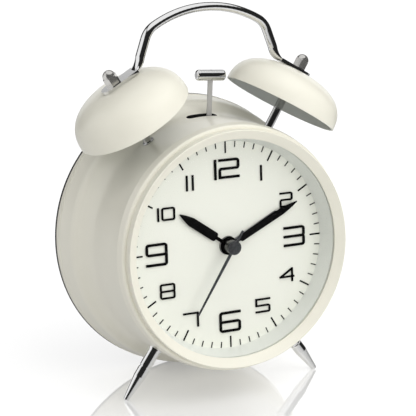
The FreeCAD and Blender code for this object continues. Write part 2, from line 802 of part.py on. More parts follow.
def cap_nut():
    """Acorn nut seated on the handle tab."""
    corner_r = CAP_NUT_FLATS / math.sqrt(3)
    dome_r = CAP_NUT_FLATS / 2
    rise = CAP_NUT_TOTAL - CAP_NUT_HEX
    chamfer = Part.makeCone(corner_r + CAP_NUT_HEX, dome_r, CAP_NUT_HEX + SEAT)
    body = hexagon(CAP_NUT_FLATS, 0, CAP_NUT_HEX).common(chamfer)
    ball_r = (dome_r ** 2 + rise ** 2) / (2 * rise)
    ball = Part.makeSphere(ball_r, V(0, 0, CAP_NUT_TOTAL - ball_r))
    neck = Part.makeCylinder(dome_r, rise, V(0, 0, CAP_NUT_HEX - SEAT))
    body = fused([body, ball.common(neck)])
    bore = Part.makeCylinder(THREAD_R, CAP_NUT_HEX + SEAT, V(0, 0, 0))
    return on_axis(body.cut(bore), BELL_CENTRE + bell_axis() * NUT_SEAT, bell_axis())


def post_nut():
    """Hexagon nut on the post's foot, just inside the drum wall."""
    seat = POST_FOOT - DRUM_WALL - WASHER_THICK - CLAMP_NUT_THICK
    nut = hexagon(CLAMP_NUT_FLATS, seat, seat + CLAMP_NUT_THICK)
    nut = nut.cut(Part.makeCylinder(THREAD_R + RUN, CLAMP_NUT_THICK, V(0, 0, seat)))
    return on_axis(nut, BELL_CENTRE, bell_axis())


def post_washer():
    """Shaped washer that fills the wedge between the nut and the sloping wall."""
    seat = POST_FOOT - DRUM_WALL - WASHER_THICK
    ring = Part.makeCylinder(WASHER_R, WASHER_THICK + DRUM_WALL, V(0, 0, seat))
    ring = ring.cut(Part.makeCylinder(THREAD_R + RUN, WASHER_THICK + DRUM_WALL, V(0, 0, seat)))
    return on_axis(ring, BELL_CENTRE, bell_axis()).common(drum_filled(DRUM_WALL))


def handle_points():
    """Centre line of the right half of the handle, in the plane through the nut.

    Gives the crown point, the tangent points and centre of the shoulder arc, the corner where
    the limb meets the tab, the limb's downward direction and the tab's outward direction.
    """
    axis = bell_axis()
    seat = BELL_CENTRE + axis * (BELL_HEIGHT + TAB_THICK / 2)
    flat = V(axis.x, 0, axis.z).normalize()
    outward = V(flat.z, 0, -flat.x)
    limb = math.radians(LIMB_ANGLE)
    down = V(math.sin(limb), 0, -math.cos(limb))
    inward = V(-math.cos(limb), 0, -math.sin(limb))
    corner = seat - outward * TAB_INNER
    top_centre = V(0, seat.y, HANDLE_TOP_Z - HANDLE_TOP_R)
    reach = HANDLE_TOP_R - SHOULDER_R
    offset = corner + inward * SHOULDER_R - top_centre
    slide = offset.dot(down)
    limb_length = slide + math.sqrt(slide ** 2 - offset.dot(offset) + reach ** 2)
    limb_top = corner - down * limb_length
    shoulder_centre = limb_top + inward * SHOULDER_R
    to_shoulder = (shoulder_centre - top_centre).normalize()
    crown_end = top_centre + to_shoulder * HANDLE_TOP_R
    crown = V(0, seat.y, HANDLE_TOP_Z)
    return crown, crown_end, shoulder_centre, limb_top, corner, down, outward


def arc_between(start, end, centre):
    """Short arc from start to end about a centre in the XZ plane."""
    middle = (start + end) * 0.5 - centre
    radius = (start - centre).Length
    return Part.Arc(start, centre + middle.normalize() * radius, end).toShape()


def oval(centre, across, thick, width):
    """Oval section: thick along the across direction, width along Y."""
    if width >= thick:
        ellipse = Part.Ellipse(centre + V(0, width / 2, 0), centre + across * (thick / 2), centre)
    else:
        ellipse = Part.Ellipse(centre + across * (thick / 2), centre + V(0, width / 2, 0), centre)
    return Part.Wire([ellipse.toShape()])


def handle():
    """Oval bar bent over the bells, flattened at both feet into drilled tabs."""
    crown, crown_end, shoulder_centre, limb_top, corner, down, outward = handle_points()
    bend_trim = TAB_BEND_R * math.tan(math.radians(90 - BELL_TILT - LIMB_ANGLE) / 2)
    limb_foot = corner - down * (bend_trim + BAR_THICK)
    bend_start = corner - down * bend_trim
    bend_end = corner + outward * bend_trim
    top_centre = V(0, crown.y, HANDLE_TOP_Z - HANDLE_TOP_R)
    path = Part.Wire([arc_between(crown, crown_end, top_centre),
                      arc_between(crown_end, limb_top, shoulder_centre),
                      Part.LineSegment(limb_top, limb_foot).toShape()])
    crown_section = oval(crown, V(0, 0, 1), BAR_THICK, BAR_WIDTH)
    bar = path.makePipeShell([crown_section], True, False)
    limb_across = V(-down.z, 0, down.x)
    bend_across = (limb_across + V(-outward.z, 0, outward.x)).normalize()
    tab_across = V(-outward.z, 0, outward.x)
    mean_thick = (BAR_THICK + TAB_THICK) / 2
    mean_width = (BAR_WIDTH + TAB_WIDTH) / 2
    bend_middle = (bend_start + bend_end) * 0.5
    foot = Part.makeLoft([oval(limb_foot, limb_across, BAR_THICK, BAR_WIDTH),
                          oval(bend_middle, bend_across, mean_thick, mean_width),
                          oval(bend_end + outward, tab_across, TAB_THICK, TAB_WIDTH)], True, False)
    tab = Part.makeBox(TAB_INNER - bend_trim, TAB_WIDTH, TAB_THICK,
                       V(bend_trim - TAB_INNER, -TAB_WIDTH / 2, BELL_HEIGHT))
    round_end = Part.makeCylinder(TAB_WIDTH / 2, TAB_THICK,
                                  V(TAB_OUTER - TAB_WIDTH / 2, 0, BELL_HEIGHT))
    middle_tab = Part.makeBox(TAB_OUTER - TAB_WIDTH / 2, TAB_WIDTH, TAB_THICK,
                              V(0, -TAB_WIDTH / 2, BELL_HEIGHT))
    hole = Part.makeCylinder(THREAD_R + RUN, 2 * PIERCE, V(0, 0, BELL_HEIGHT - PIERCE))
    flat = fused([tab, middle_tab, round_end]).cut(hole)
    half = fused([bar, foot, on_axis(flat, BELL_CENTRE, bell_axis())])
    return fused([half, mirrored(half)])


# ================================================================ legs
def right_leg():
    """Turned leg: cylinder with a groove, tapered tip, threaded stud into the drum."""
    top = WALL_AT_LEG + COLLAR_STAND
    groove = top + LEG_GROOVE_FROM_COLLAR
    taper = LEG_END - LEG_TAPER
    upper = Part.makeCylinder(LEG_R, taper - top, V(0, 0, top))
    neck = Part.makeCylinder(LEG_R - LEG_GROOVE_DEPTH, LEG_GROOVE_WIDTH, V(0, 0, groove))
    around = Part.makeCylinder(2 * LEG_R, LEG_GROOVE_WIDTH, V(0, 0, groove))
    lower = Part.makeCone(LEG_R, LEG_TIP_R, LEG_TAPER, V(0, 0, taper))
    stud_top = WALL_AT_LEG - DRUM_WALL - CLAMP_NUT_THICK - 2 * WASHER_THICK
    stud = Part.makeCylinder(LEG_STUD_R, top - stud_top, V(0, 0, stud_top))
    body = fused([upper.cut(around.cut(neck)), lower, stud])
    return on_axis(body, LEG_ORIGIN, LEG_AXIS).cut(floor_block())


def leg_collar():
    """Thin plated washer shaped to the drum between the wall and the leg."""
    ring = Part.makeCylinder(COLLAR_R, COLLAR_STAND + PIERCE, V(0, 0, WALL_AT_LEG - PIERCE))
    bore = Part.makeCylinder(LEG_STUD_R + RUN, COLLAR_STAND + 2 * PIERCE,
                             V(0, 0, WALL_AT_LEG - PIERCE))
    return on_axis(ring.cut(bore), LEG_ORIGIN, LEG_AXIS).cut(drum_filled(0))


def leg_nut():
    """Hexagon nut on the leg's stud, just inside the drum wall."""
    outer = WALL_AT_LEG - DRUM_WALL - 2 * SEAT - RUN
    nut = hexagon(CLAMP_NUT_FLATS + 2 * (LEG_STUD_R - THREAD_R), outer - CLAMP_NUT_THICK, outer)
    nut = nut.cut(Part.makeCylinder(LEG_STUD_R, CLAMP_NUT_THICK, V(0, 0, outer - CLAMP_NUT_THICK)))
    return on_axis(nut, LEG_ORIGIN, LEG_AXIS)


def floor_block():
    """Everything below the plane that the leaned clock rests on."""
    size = 4 * RING_R
    depth = RING_R
    ground = Part.makeBox(size, size, depth, V(-size / 2, -size / 2, -REST_DROP - depth))
    return ground.rotate(V(0, 0, 0), V(1, 0, 0), LEAN)


# ================================================================ hammer and its drive
def in_hammer_plane(points, y0, y1):
    """Plate outlined by (across, along) points about the pivot, along the arm's own axis."""
    across = V(ARM_AXIS.z, 0, -ARM_AXIS.x)
    corners = [PIVOT + across * a + ARM_AXIS * b for a, b in points]
    return plate([(c.x, c.z) for c in corners], y0, y1)


def hammer_arm():
    """Flat strip with a hub on the pivot pin and a fork over the crank pin's path."""
    y0 = PLANE_Y - ARM_THICK / 2
    y1 = PLANE_Y + ARM_THICK / 2
    half = ARM_WIDTH / 2
    head_distance = math.hypot(HEAD_X - PIVOT_X, HEAD_Z - PIVOT_Z)
    strip = in_hammer_plane([(-half, 0), (half, 0), (half, head_distance), (-half, head_distance)],
                            y0, y1)
    fork_half = FORK_WIDTH / 2
    gap = CRANK_PIN_R + FREE
    fork = in_hammer_plane([(-half, 0), (-fork_half, -half * 3), (-fork_half, -FORK_REACH - half),
                            (-gap, -FORK_REACH - half), (-gap, -FORK_REACH + 2 * CRANK_THROW),
                            (gap, -FORK_REACH + 2 * CRANK_THROW), (gap, -FORK_REACH - half),
                            (fork_half, -FORK_REACH - half), (fork_half, -half * 3), (half, 0)],
                           y0, y1)
    hub = cyl(PIVOT_X, PIVOT_Z, ARM_HUB_R, PLANE_Y - ARM_HUB_LENGTH / 2, PLANE_Y + ARM_HUB_LENGTH / 2)
    bore = cyl(PIVOT_X, PIVOT_Z, PIVOT_PIN_R + RUN, PLANE_Y - PIERCE, PLANE_Y + PIERCE)
    return fused([strip, fork, hub]).cut(bore)


def hammer_head():
    """Turned steel barrel, square to the arm, with a fine ring at mid length."""
    barrel = Part.makeCylinder(HEAD_R, HEAD_LENGTH, V(0, 0, -HEAD_LENGTH / 2))
    barrel = barrel.makeFillet(HEAD_ROUND, [barrel.Edges[0], barrel.Edges[2]])
    outer = Part.makeCylinder(2 * HEAD_R, HEAD_RING_WIDTH, V(0, 0, -HEAD_RING_WIDTH / 2))
    inner = Part.makeCylinder(HEAD_R - HEAD_RING_DEPTH, HEAD_RING_WIDTH,
                              V(0, 0, -HEAD_RING_WIDTH / 2))
    barrel = barrel.cut(outer.cut(inner))
    across = V(ARM_AXIS.z, 0, -ARM_AXIS.x)
    placed = on_axis(barrel, V(HEAD_X, PLANE_Y, HEAD_Z), across)
    return placed.cut(hammer_arm())


def hammer_pivot():
    """Pivot pin with a head in front of the hub and a shoulder behind it."""
    hub_front = PLANE_Y - ARM_HUB_LENGTH / 2
    hub_rear = PLANE_Y + ARM_HUB_LENGTH / 2
    pin = cyl(PIVOT_X, PIVOT_Z, PIVOT_PIN_R, hub_front - FREE, CHASSIS_REAR_Y)
    head = cyl(PIVOT_X, PIVOT_Z, PIVOT_HEAD_R, hub_front - FREE - PIVOT_HEAD, hub_front - FREE)
    shoulder = cyl(PIVOT_X, PIVOT_Z, PIVOT_COLLAR_R, hub_rear + FREE, CHASSIS_Y)
    return fused([pin, head, shoulder])


def crank_gear():
    """Gear with a crank pin on its face that works the fork."""
    phase = MOTOR_ANGLE
    wheel = gear(PIVOT_X, CRANK_Z, CRANK_TEETH, DRIVE_MODULE, CRANK_FRONT_Y, CRANK_REAR_Y, phase)
    hub = cyl(PIVOT_X, CRANK_Z, CRANK_HUB_R, CRANK_REAR_Y, CHASSIS_Y - FREE)
    pin = cyl(PIVOT_X, CRANK_Z - CRANK_THROW, CRANK_PIN_R, CRANK_FRONT_Y - CRANK_PIN_REACH,
              CRANK_FRONT_Y)
    bore = cyl(PIVOT_X, CRANK_Z, CRANK_ARBOR_R + RUN, CRANK_FRONT_Y + CRANK_THICK / 4, CHASSIS_Y)
    return fused([wheel, hub, pin]).cut(bore)


def crank_arbor():
    """Fixed pin that carries the crank gear."""
    return cyl(PIVOT_X, CRANK_Z, CRANK_ARBOR_R, CRANK_FRONT_Y + CRANK_THICK / 4 + FREE,
               CHASSIS_REAR_Y)


def motor_pinion():
    """Motor shaft with its pinion."""
    y0 = (CRANK_FRONT_Y + CRANK_REAR_Y - PINION_LENGTH) / 2
    phase = gap_phase(PINION_TEETH, MOTOR_ANGLE + 180)
    pinion = gear(MOTOR_X, MOTOR_Z, PINION_TEETH, DRIVE_MODULE, y0, y0 + PINION_LENGTH, phase)
    shaft_end = CHASSIS_REAR_Y + MOTOR_LENGTH / 2
    return fused([pinion, cyl(MOTOR_X, MOTOR_Z, MOTOR_SHAFT_R, y0, shaft_end)])


def hammer_motor():
    """Round can motor with a front boss in the chassis and two terminals at the back."""
    front = CHASSIS_REAR_Y
    can = cyl(MOTOR_X, MOTOR_Z, MOTOR_R, front, front + MOTOR_LENGTH)
    can = can.makeFillet(MOTOR_ROUND, [can.Edges[0], can.Edges[2]])
    boss = cyl(MOTOR_X, MOTOR_Z, MOTOR_BOSS_R, CHASSIS_Y, front + MOTOR_ROUND)
    bore = cyl(MOTOR_X, MOTOR_Z, MOTOR_SHAFT_R + RUN, CHASSIS_Y, front + MOTOR_LENGTH / 2 + FREE)
    body = fused([can, boss]).cut(bore)
    terminals = []
    for side in (-1, 1):
        x = MOTOR_X + side * MOTOR_R / 2
        terminals.append(block(x - TERMINAL_HALF, x + TERMINAL_HALF,
                               front + MOTOR_LENGTH - TERMINAL_THICK,
                               front + MOTOR_LENGTH + TERMINAL_REACH,
                               MOTOR_Z - TERMINAL_THICK, MOTOR_Z + TERMINAL_THICK))
    return fused([body] + terminals)


# ================================================================ chassis, rear cover and battery
def stud_places():
    """Centres of the three cover studs."""
    return [polar(STUD_CIRCLE, angle) for angle in STUD_ANGLES]


def chassis():
    """Moulded plate that carries movement, motor and hammer pivot across the drum."""
    radius = drum_radius(CHASSIS_Y) - DRUM_WALL - FREE
    disc = cyl(0, 0, radius, CHASSIS_Y, CHASSIS_REAR_Y)
    pads = [cyl(sx * (CASE_HALF - CASE_CORNER), sz * (CASE_HALF - CASE_CORNER), CASE_CORNER,
                CASE_REAR_Y, CHASSIS_REAR_Y) for sx in (-1, 1) for sz in (-1, 1)]
    cup = tube(MOTOR_X, MOTOR_Z, MOTOR_R + SEAT + CUP_WALL, MOTOR_R + SEAT,
               CHASSIS_REAR_Y, CHASSIS_REAR_Y + CUP_DEPTH)
    boss = cyl(PIVOT_X, PIVOT_Z, PIVOT_BOSS_R, CRANK_REAR_Y + 2 * FREE, CHASSIS_REAR_Y)
    boss = boss.cut(cyl(PIVOT_X, CRANK_Z, CRANK_DROP - PIVOT_HEAD_R - FREE, 0, CHASSIS_Y))
    body = fused([disc, cup, boss] + pads)
    holes = [cyl(PIVOT_X, PIVOT_Z, PIVOT_PIN_R, 0, CHASSIS_REAR_Y),
             cyl(PIVOT_X, PIVOT_Z, PIVOT_COLLAR_R, 0, CHASSIS_Y),
             cyl(PIVOT_X, CRANK_Z, CRANK_ARBOR_R, 0, CHASSIS_REAR_Y),
             cyl(MOTOR_X, MOTOR_Z, MOTOR_BOSS_R + SEAT, 0, CHASSIS_REAR_Y)]
    for x, z in (TIME_SET, ALARM_SET):
        holes.append(cyl(x, z, SETTING_ARBOR_R + FREE, 0, CHASSIS_REAR_Y))
    for x, z in stud_places():
        holes.append(cyl(x, z, SCREW_R, 0, CHASSIS_REAR_Y))
    for hole in holes:
        body = body.cut(hole)
    return body


def door_half():
    """Half width and half height of the battery door opening."""
    return TUB_LENGTH / 2 + DOOR_MARGIN, TUB_HEIGHT / 2 + DOOR_MARGIN


def rear_cover():
    """Black back plate with skirt, battery tub, screw studs, and holes for knobs and switch."""
    disc = cyl(0, 0, COVER_R, RING_REAR_Y, COVER_REAR_Y)
    skirt_r = RING_R - RING_WALL - SEAT
    skirt = tube(0, 0, skirt_r, skirt_r - COVER_SKIRT_WALL, RING_REAR_Y - COVER_SKIRT, COVER_REAR_Y)
    half_x = TUB_LENGTH / 2
    half_z = TUB_HEIGHT / 2
    tub = block(-half_x - TUB_WALL, half_x + TUB_WALL, TUB_FRONT_Y - TUB_WALL, RING_REAR_Y,
                TUB_Z - half_z - TUB_WALL, TUB_Z + half_z + TUB_WALL)
    studs = [cyl(x, z, STUD_R, CHASSIS_REAR_Y, RING_REAR_Y) for x, z in stud_places()]
    slot_half = (SWITCH_LENGTH + SWITCH_TRAVEL) / 2 + FREE
    body = fused([disc, skirt, tub] + studs)
    room = block(-half_x, half_x, TUB_FRONT_Y, COVER_REAR_Y, TUB_Z - half_z, TUB_Z + half_z)
    door_x, door_z = door_half()
    step = block(-door_x, door_x, COVER_REAR_Y - COVER_THICK / 2, COVER_REAR_Y,
                 TUB_Z - door_z, TUB_Z + door_z)
    cuts = [room, step,
            block(SWITCH_X - slot_half, SWITCH_X + slot_half, RING_REAR_Y, COVER_REAR_Y,
                  SWITCH_Z - SWITCH_HEIGHT / 2 - FREE, SWITCH_Z + SWITCH_HEIGHT / 2 + FREE)]
    for x, z in (TIME_SET, ALARM_SET):
        cuts.append(cyl(x, z, SETTING_ARBOR_R + FREE, RING_REAR_Y, COVER_REAR_Y))
    for x, z in stud_places():
        cuts.append(cyl(x, z, SCREW_R, CHASSIS_REAR_Y, COVER_REAR_Y))
        cuts.append(cyl(x, z, SCREW_HEAD_R + SEAT, COVER_REAR_Y - COVER_THICK / 2, COVER_REAR_Y))
    for cut in cuts:
        body = body.cut(cut)
    return body


def cover_screws():
    """Three long screws through the cover's studs into the chassis."""
    screws = []
    seat_y = COVER_REAR_Y - COVER_THICK / 2
    for x, z in stud_places():
        shank = cyl(x, z, SCREW_R - SEAT, CHASSIS_Y, seat_y)
        head = cyl(x, z, SCREW_HEAD_R, seat_y, seat_y + SCREW_HEAD)
        y0 = seat_y + SCREW_HEAD / 2
        y1 = seat_y + SCREW_HEAD
        level = block(x - CROSS_REACH, x + CROSS_REACH, y0, y1, z - CROSS_HALF, z + CROSS_HALF)
        upright = block(x - CROSS_HALF, x + CROSS_HALF, y0, y1, z - CROSS_REACH, z + CROSS_REACH)
        screws.append(fused([shank, head]).cut(level).cut(upright))
    return group(screws)


def battery_door():
    """Thin door that lies in the step around the tub, with a finger dimple."""
    door_x, door_z = door_half()
    seat_y = COVER_REAR_Y - COVER_THICK / 2
    door = block(-door_x + FREE, door_x - FREE, seat_y, COVER_REAR_Y,
                 TUB_Z - door_z + FREE, TUB_Z + door_z - FREE)
    rib_top = TUB_Z + TUB_HEIGHT / 2 - DOOR_RIB_THICK
    rib = block(-TUB_LENGTH / 4, TUB_LENGTH / 4, seat_y - DOOR_RIB, seat_y,
                rib_top - DOOR_RIB_THICK, rib_top)
    dimple = cyl(0, TUB_Z + door_z / 2, DOOR_GRIP_R, COVER_REAR_Y - DOOR_GRIP_DEPTH, COVER_REAR_Y)
    return fused([door, rib]).cut(dimple)


def cell_rows():
    """Height of each cell and the side (+1 or -1) that its positive tip faces."""
    return ((TUB_Z + CELL_SPACING / 2, 1), (TUB_Z - CELL_SPACING / 2, -1))


def along_x(x0, x1, y, z, radius):
    """Cylinder along X."""
    return Part.makeCylinder(radius, x1 - x0, V(x0, y, z), V(1, 0, 0))


def battery_cells():
    """Two plain AA cells, head to tail."""
    cells = []
    for z, side in cell_rows():
        half = CELL_LENGTH / 2
        can = along_x(-half, half, CELL_Y, z, CELL_R)
        tip_x = sorted((side * half, side * (half + CELL_TIP)))
        cells.append(fused([can, along_x(tip_x[0], tip_x[1], CELL_Y, z, CELL_TIP_R)]))
    return group(cells)


def contact_springs():
    """A plate at each end of each cell; the negative ends have a coil spring."""
    pieces = []
    inner = TUB_LENGTH / 2
    for z, side in cell_rows():
        for end in (-1, 1):
            x_wall = end * inner
            x0, x1 = sorted((x_wall, x_wall - end * CONTACT_THICK))
            half = CELL_R - LEAF_MARGIN
            leaf = block(x0, x1, CELL_Y - half, CELL_Y + half, z - half, z + half)
            if end == side:
                tip = CELL_LENGTH / 2 + CELL_TIP
                dish_x = sorted((end * (tip + SEAT), x_wall - end * CONTACT_THICK))
                pieces.append(fused([leaf, along_x(dish_x[0], dish_x[1], CELL_Y, z, CELL_TIP_R)]))
            else:
                pieces.append(fused([leaf, coil_spring(end, z)]))
    return group(pieces)


def coil_spring(end, z):
    """Coil spring between a contact plate and the flat end of a cell."""
    start = TUB_LENGTH / 2 - CONTACT_THICK - SPRING_WIRE_R / 2
    stop = CELL_LENGTH / 2 + SPRING_WIRE_R + SEAT
    length = start - stop
    helix = Part.makeHelix(length / SPRING_TURNS, length, SPRING_R)
    section = Part.Wire([Part.Circle(V(SPRING_R, 0, 0), V(0, 1, 0), SPRING_WIRE_R).toShape()])
    coil = Part.Wire(helix).makePipeShell([section], True, True)
    coil.Placement = FreeCAD.Placement(V(end * start, CELL_Y, z),
                                       FreeCAD.Rotation(V(0, 0, 1), V(-end, 0, 0)))
    return coil


def alarm_switch_body():
    """Slide switch housing under the cover, open towards the back."""
    half_x = SWITCH_BOX_LENGTH / 2
    half_z = SWITCH_BOX_HEIGHT / 2
    rear = RING_REAR_Y
    box = block(SWITCH_X - half_x, SWITCH_X + half_x, rear - SWITCH_BOX_DEPTH, rear,
                SWITCH_Z - half_z, SWITCH_Z + half_z)
    slide_half = (SWITCH_LENGTH + SWITCH_TRAVEL) / 2 + SWITCH_FOOT + FREE
    room = block(SWITCH_X - slide_half, SWITCH_X + slide_half, rear - SWITCH_BOX_DEPTH / 2, rear,
                 SWITCH_Z - SWITCH_HEIGHT / 2 - 2 * FREE, SWITCH_Z + SWITCH_HEIGHT / 2 + 2 * FREE)
    return box.cut(room)


def alarm_switch():
    """Sliding button, ribbed across, drawn at the off end of its travel."""
    x = SWITCH_X - SWITCH_TRAVEL / 2
    half = SWITCH_LENGTH / 2
    half_z = SWITCH_HEIGHT / 2
    foot = block(x - half - SWITCH_FOOT, x + half + SWITCH_FOOT, RING_REAR_Y - SWITCH_BOX_DEPTH / 2 + FREE,
                 RING_REAR_Y - FREE, SWITCH_Z - half_z, SWITCH_Z + half_z)
    button = block(x - half, x + half, RING_REAR_Y - FREE, COVER_REAR_Y + SWITCH_STAND,
                   SWITCH_Z - half_z, SWITCH_Z + half_z)
    body = fused([foot, button])
    for k in (-1, 0, 1):
        groove_x = x + k * SWITCH_LENGTH / 4
        groove = block(groove_x - SWITCH_GROOVE, groove_x + SWITCH_GROOVE,
                       COVER_REAR_Y + SWITCH_STAND - SWITCH_GROOVE_DEPTH,
                       COVER_REAR_Y + SWITCH_STAND, SWITCH_Z - half_z, SWITCH_Z + half_z)
        body = body.cut(groove)
    return body


def knob(place):
    """Ribbed knob on a setting arbor."""
    x, z = place
    body = cyl(x, z, KNOB_R - KNOB_RIB_R, KNOB_FRONT_Y, KNOB_REAR_Y)
    body = body.makeFillet(KNOB_ROUND, [body.Edges[2], body.Edges[0]])
    ribs = []
    for k in range(KNOB_RIBS):
        rib_x, rib_z = polar(KNOB_R - KNOB_RIB_R, 360.0 * k / KNOB_RIBS)
        ribs.append(cyl(x + rib_x, z + rib_z, KNOB_RIB_R, KNOB_FRONT_Y + KNOB_CLEAR,
                        KNOB_REAR_Y - KNOB_CLEAR))
    bore = cyl(x, z, SETTING_ARBOR_R, KNOB_FRONT_Y, KNOB_REAR_Y - KNOB_FACE)
    return fused([body] + ribs).cut(bore)


# ================================================================ movement
def rounded_box(half, y0, y1, corner):
    """Square block about the dial axis with rounded edges along Y."""
    wide = block(-half, half, y0, y1, -half + corner, half - corner)
    tall = block(-half + corner, half - corner, y0, y1, -half, half)
    corners = [cyl(sx * (half - corner), sz * (half - corner), corner, y0, y1)
               for sx in (-1, 1) for sz in (-1, 1)]
    return fused([wide, tall] + corners)


def movement_front():
    """Front half of the movement case with the centre bush and three arbor bearings."""
    outer = rounded_box(CASE_HALF, CASE_FRONT_Y, CASE_SPLIT_Y, CASE_CORNER)
    inner = rounded_box(CASE_HALF - CASE_WALL, CASE_FRONT_Y + CASE_WALL, CASE_SPLIT_Y,
                        CASE_CORNER - CASE_WALL)
    bush = cyl(0, 0, BUSH_R, BUSH_FRONT_Y, CASE_FRONT_Y + CASE_WALL)
    body = fused([outer.cut(inner), bush])
    holes = [cyl(0, 0, ALARM_PIPE_R + RUN, BUSH_FRONT_Y, CASE_SPLIT_Y)]
    for x, z in (TIME_SET, ALARM_SET):
        holes.append(cyl(x, z, SETTING_ARBOR_R + RUN, CASE_FRONT_Y, CASE_SPLIT_Y))
    holes.append(cyl(THIRD[0], THIRD[1], ARBOR_R + RUN, CASE_FRONT_Y, CASE_SPLIT_Y))
    for hole in holes:
        body = body.cut(hole)
    return body


def movement_rear():
    """Rear half of the movement case with the bearings of all arbors."""
    outer = rounded_box(CASE_HALF, CASE_SPLIT_Y, CASE_REAR_Y, CASE_CORNER)
    inner = rounded_box(CASE_HALF - CASE_WALL, CASE_SPLIT_Y, CASE_REAR_Y - CASE_WALL,
                        CASE_CORNER - CASE_WALL)
    body = outer.cut(inner)
    for x, z in (TIME_SET, ALARM_SET):
        body = body.cut(cyl(x, z, SETTING_ARBOR_R + RUN, CASE_SPLIT_Y, CASE_REAR_Y))
    for (x, z), radius in (((0, 0), ARBOR_R), (THIRD, ARBOR_R), (STEP, STEP_ARBOR_R),
                           (ROTOR, STEP_ARBOR_R)):
        body = body.cut(cyl(x, z, radius + RUN, CASE_SPLIT_Y, CASE_REAR_Y))
    return body


def wheel_y(front):
    """Front and rear of a wheel whose front face is at the given depth."""
    return front, front + WHEEL_THICK


def pinion_y(front):
    """Front and rear of a pinion that is a little longer than its wheel."""
    return front - PINION_OVER, front + WHEEL_THICK + PINION_OVER


def setting_module():
    """Module of the cannon pinion and motion wheel, and of the alarm pair."""
    return (2 * SETTING_DISTANCE / (CANNON_TEETH + MOTION_WHEEL_TEETH),
            2 * SETTING_DISTANCE / (MOTION_PINION_TEETH + HOUR_WHEEL_TEETH),
            2 * SETTING_DISTANCE / (ALARM_PINION_TEETH + ALARM_WHEEL_TEETH))


def alarm_wheel():
    """Alarm wheel with the pipe that carries the alarm hand."""
    module = setting_module()[2]
    y0, y1 = wheel_y(ALARM_WHEEL_Y)
    wheel = gear(0, 0, ALARM_WHEEL_TEETH, module, y0, y1, ALARM_SET_ANGLE)
    pipe = cyl(0, 0, ALARM_PIPE_R, ALARM_HAND_Y, y0)
    return fused([wheel, pipe]).cut(cyl(0, 0, HOUR_PIPE_R + RUN, ALARM_HAND_Y, y1))


def hour_wheel():
    """Hour wheel with the pipe that carries the hour hand."""
    module = setting_module()[1]
    y0, y1 = wheel_y(HOUR_WHEEL_Y)
    wheel = gear(0, 0, HOUR_WHEEL_TEETH, module, y0, y1, TIME_SET_ANGLE)
    pipe = cyl(0, 0, HOUR_PIPE_R, HOUR_HAND_Y, y0)
    return fused([wheel, pipe]).cut(cyl(0, 0, MINUTE_PIPE_R + RUN, HOUR_HAND_Y, y1))


def minute_wheel():
    """Centre wheel, cannon pinion and the pipe that carries the minute hand."""
    y0, y1 = pinion_y(MOTION_WHEEL_Y)
    cannon = gear(0, 0, CANNON_TEETH, setting_module()[0], y0, y1, TIME_SET_ANGLE)
    module = 2 * THIRD_DISTANCE / (CENTRE_WHEEL_TEETH + TRAIN_PINION_TEETH)
    w0, w1 = wheel_y(CENTRE_WHEEL_Y)
    wheel = gear(0, 0, CENTRE_WHEEL_TEETH, module, w0, w1, THIRD_ANGLE)
    pipe = cyl(0, 0, MINUTE_PIPE_R, MINUTE_HAND_Y, w1)
    return fused([cannon, wheel, pipe]).cut(cyl(0, 0, ARBOR_R + RUN, MINUTE_HAND_Y, w1))


def motion_wheel():
    """Motion wheel and pinion on the time setting arbor, which reaches the rear knob."""
    x, z = TIME_SET
    back = TIME_SET_ANGLE + 180
    y0, y1 = wheel_y(MOTION_WHEEL_Y)
    wheel = gear(x, z, MOTION_WHEEL_TEETH, setting_module()[0], y0, y1,
                 gap_phase(MOTION_WHEEL_TEETH, back))
    p0, p1 = pinion_y(HOUR_WHEEL_Y)
    pinion = gear(x, z, MOTION_PINION_TEETH, setting_module()[1], p0, p1,
                  gap_phase(MOTION_PINION_TEETH, back))
    arbor = cyl(x, z, SETTING_ARBOR_R, CASE_FRONT_Y + SEAT, KNOB_REAR_Y - KNOB_FACE)
    spacer = cyl(x, z, SETTING_ARBOR_R + WASHER_THICK, p1, y0)
    return fused([wheel, pinion, spacer, arbor])


def alarm_arbor():
    """Alarm setting pinion on its arbor, which reaches the rear knob."""
    x, z = ALARM_SET
    y0, y1 = pinion_y(ALARM_WHEEL_Y)
    pinion = gear(x, z, ALARM_PINION_TEETH, setting_module()[2], y0, y1,
                  gap_phase(ALARM_PINION_TEETH, ALARM_SET_ANGLE + 180))
    arbor = cyl(x, z, SETTING_ARBOR_R, CASE_FRONT_Y + SEAT, KNOB_REAR_Y - KNOB_FACE)
    return fused([pinion, arbor])


def third_module():
    """Module of the third wheel and the seconds pinion."""
    return 2 * THIRD_DISTANCE / (THIRD_WHEEL_TEETH + TRAIN_PINION_TEETH)


def third_wheel():
    """Third wheel and pinion on an arbor across the movement."""
    x, z = THIRD
    back = THIRD_ANGLE + 180
    y0, y1 = wheel_y(THIRD_WHEEL_Y)
    wheel = gear(x, z, THIRD_WHEEL_TEETH, third_module(), y0, y1,
                 gap_phase(THIRD_WHEEL_TEETH, back))
    module = 2 * THIRD_DISTANCE / (CENTRE_WHEEL_TEETH + TRAIN_PINION_TEETH)
    p0, p1 = pinion_y(CENTRE_WHEEL_Y)
    pinion = gear(x, z, TRAIN_PINION_TEETH, module, p0, p1, gap_phase(TRAIN_PINION_TEETH, back))
    arbor = cyl(x, z, ARBOR_R, CASE_FRONT_Y + SEAT, CASE_REAR_Y - SEAT)
    return fused([wheel, pinion, arbor])


def seconds_wheel():
    """Seconds wheel and pinion on the centre arbor that carries the second hand."""
    y0, y1 = wheel_y(SECONDS_WHEEL_Y)
    wheel = gear(0, 0, SECONDS_WHEEL_TEETH, STEP_MODULE, y0, y1, STEP_ANGLE)
    p0, p1 = pinion_y(THIRD_WHEEL_Y)
    pinion = gear(0, 0, TRAIN_PINION_TEETH, third_module(), p0, p1, THIRD_ANGLE)
    arbor = cyl(0, 0, ARBOR_R, SECOND_HAND_Y, CASE_REAR_Y - SEAT)
    return fused([wheel, pinion, arbor])


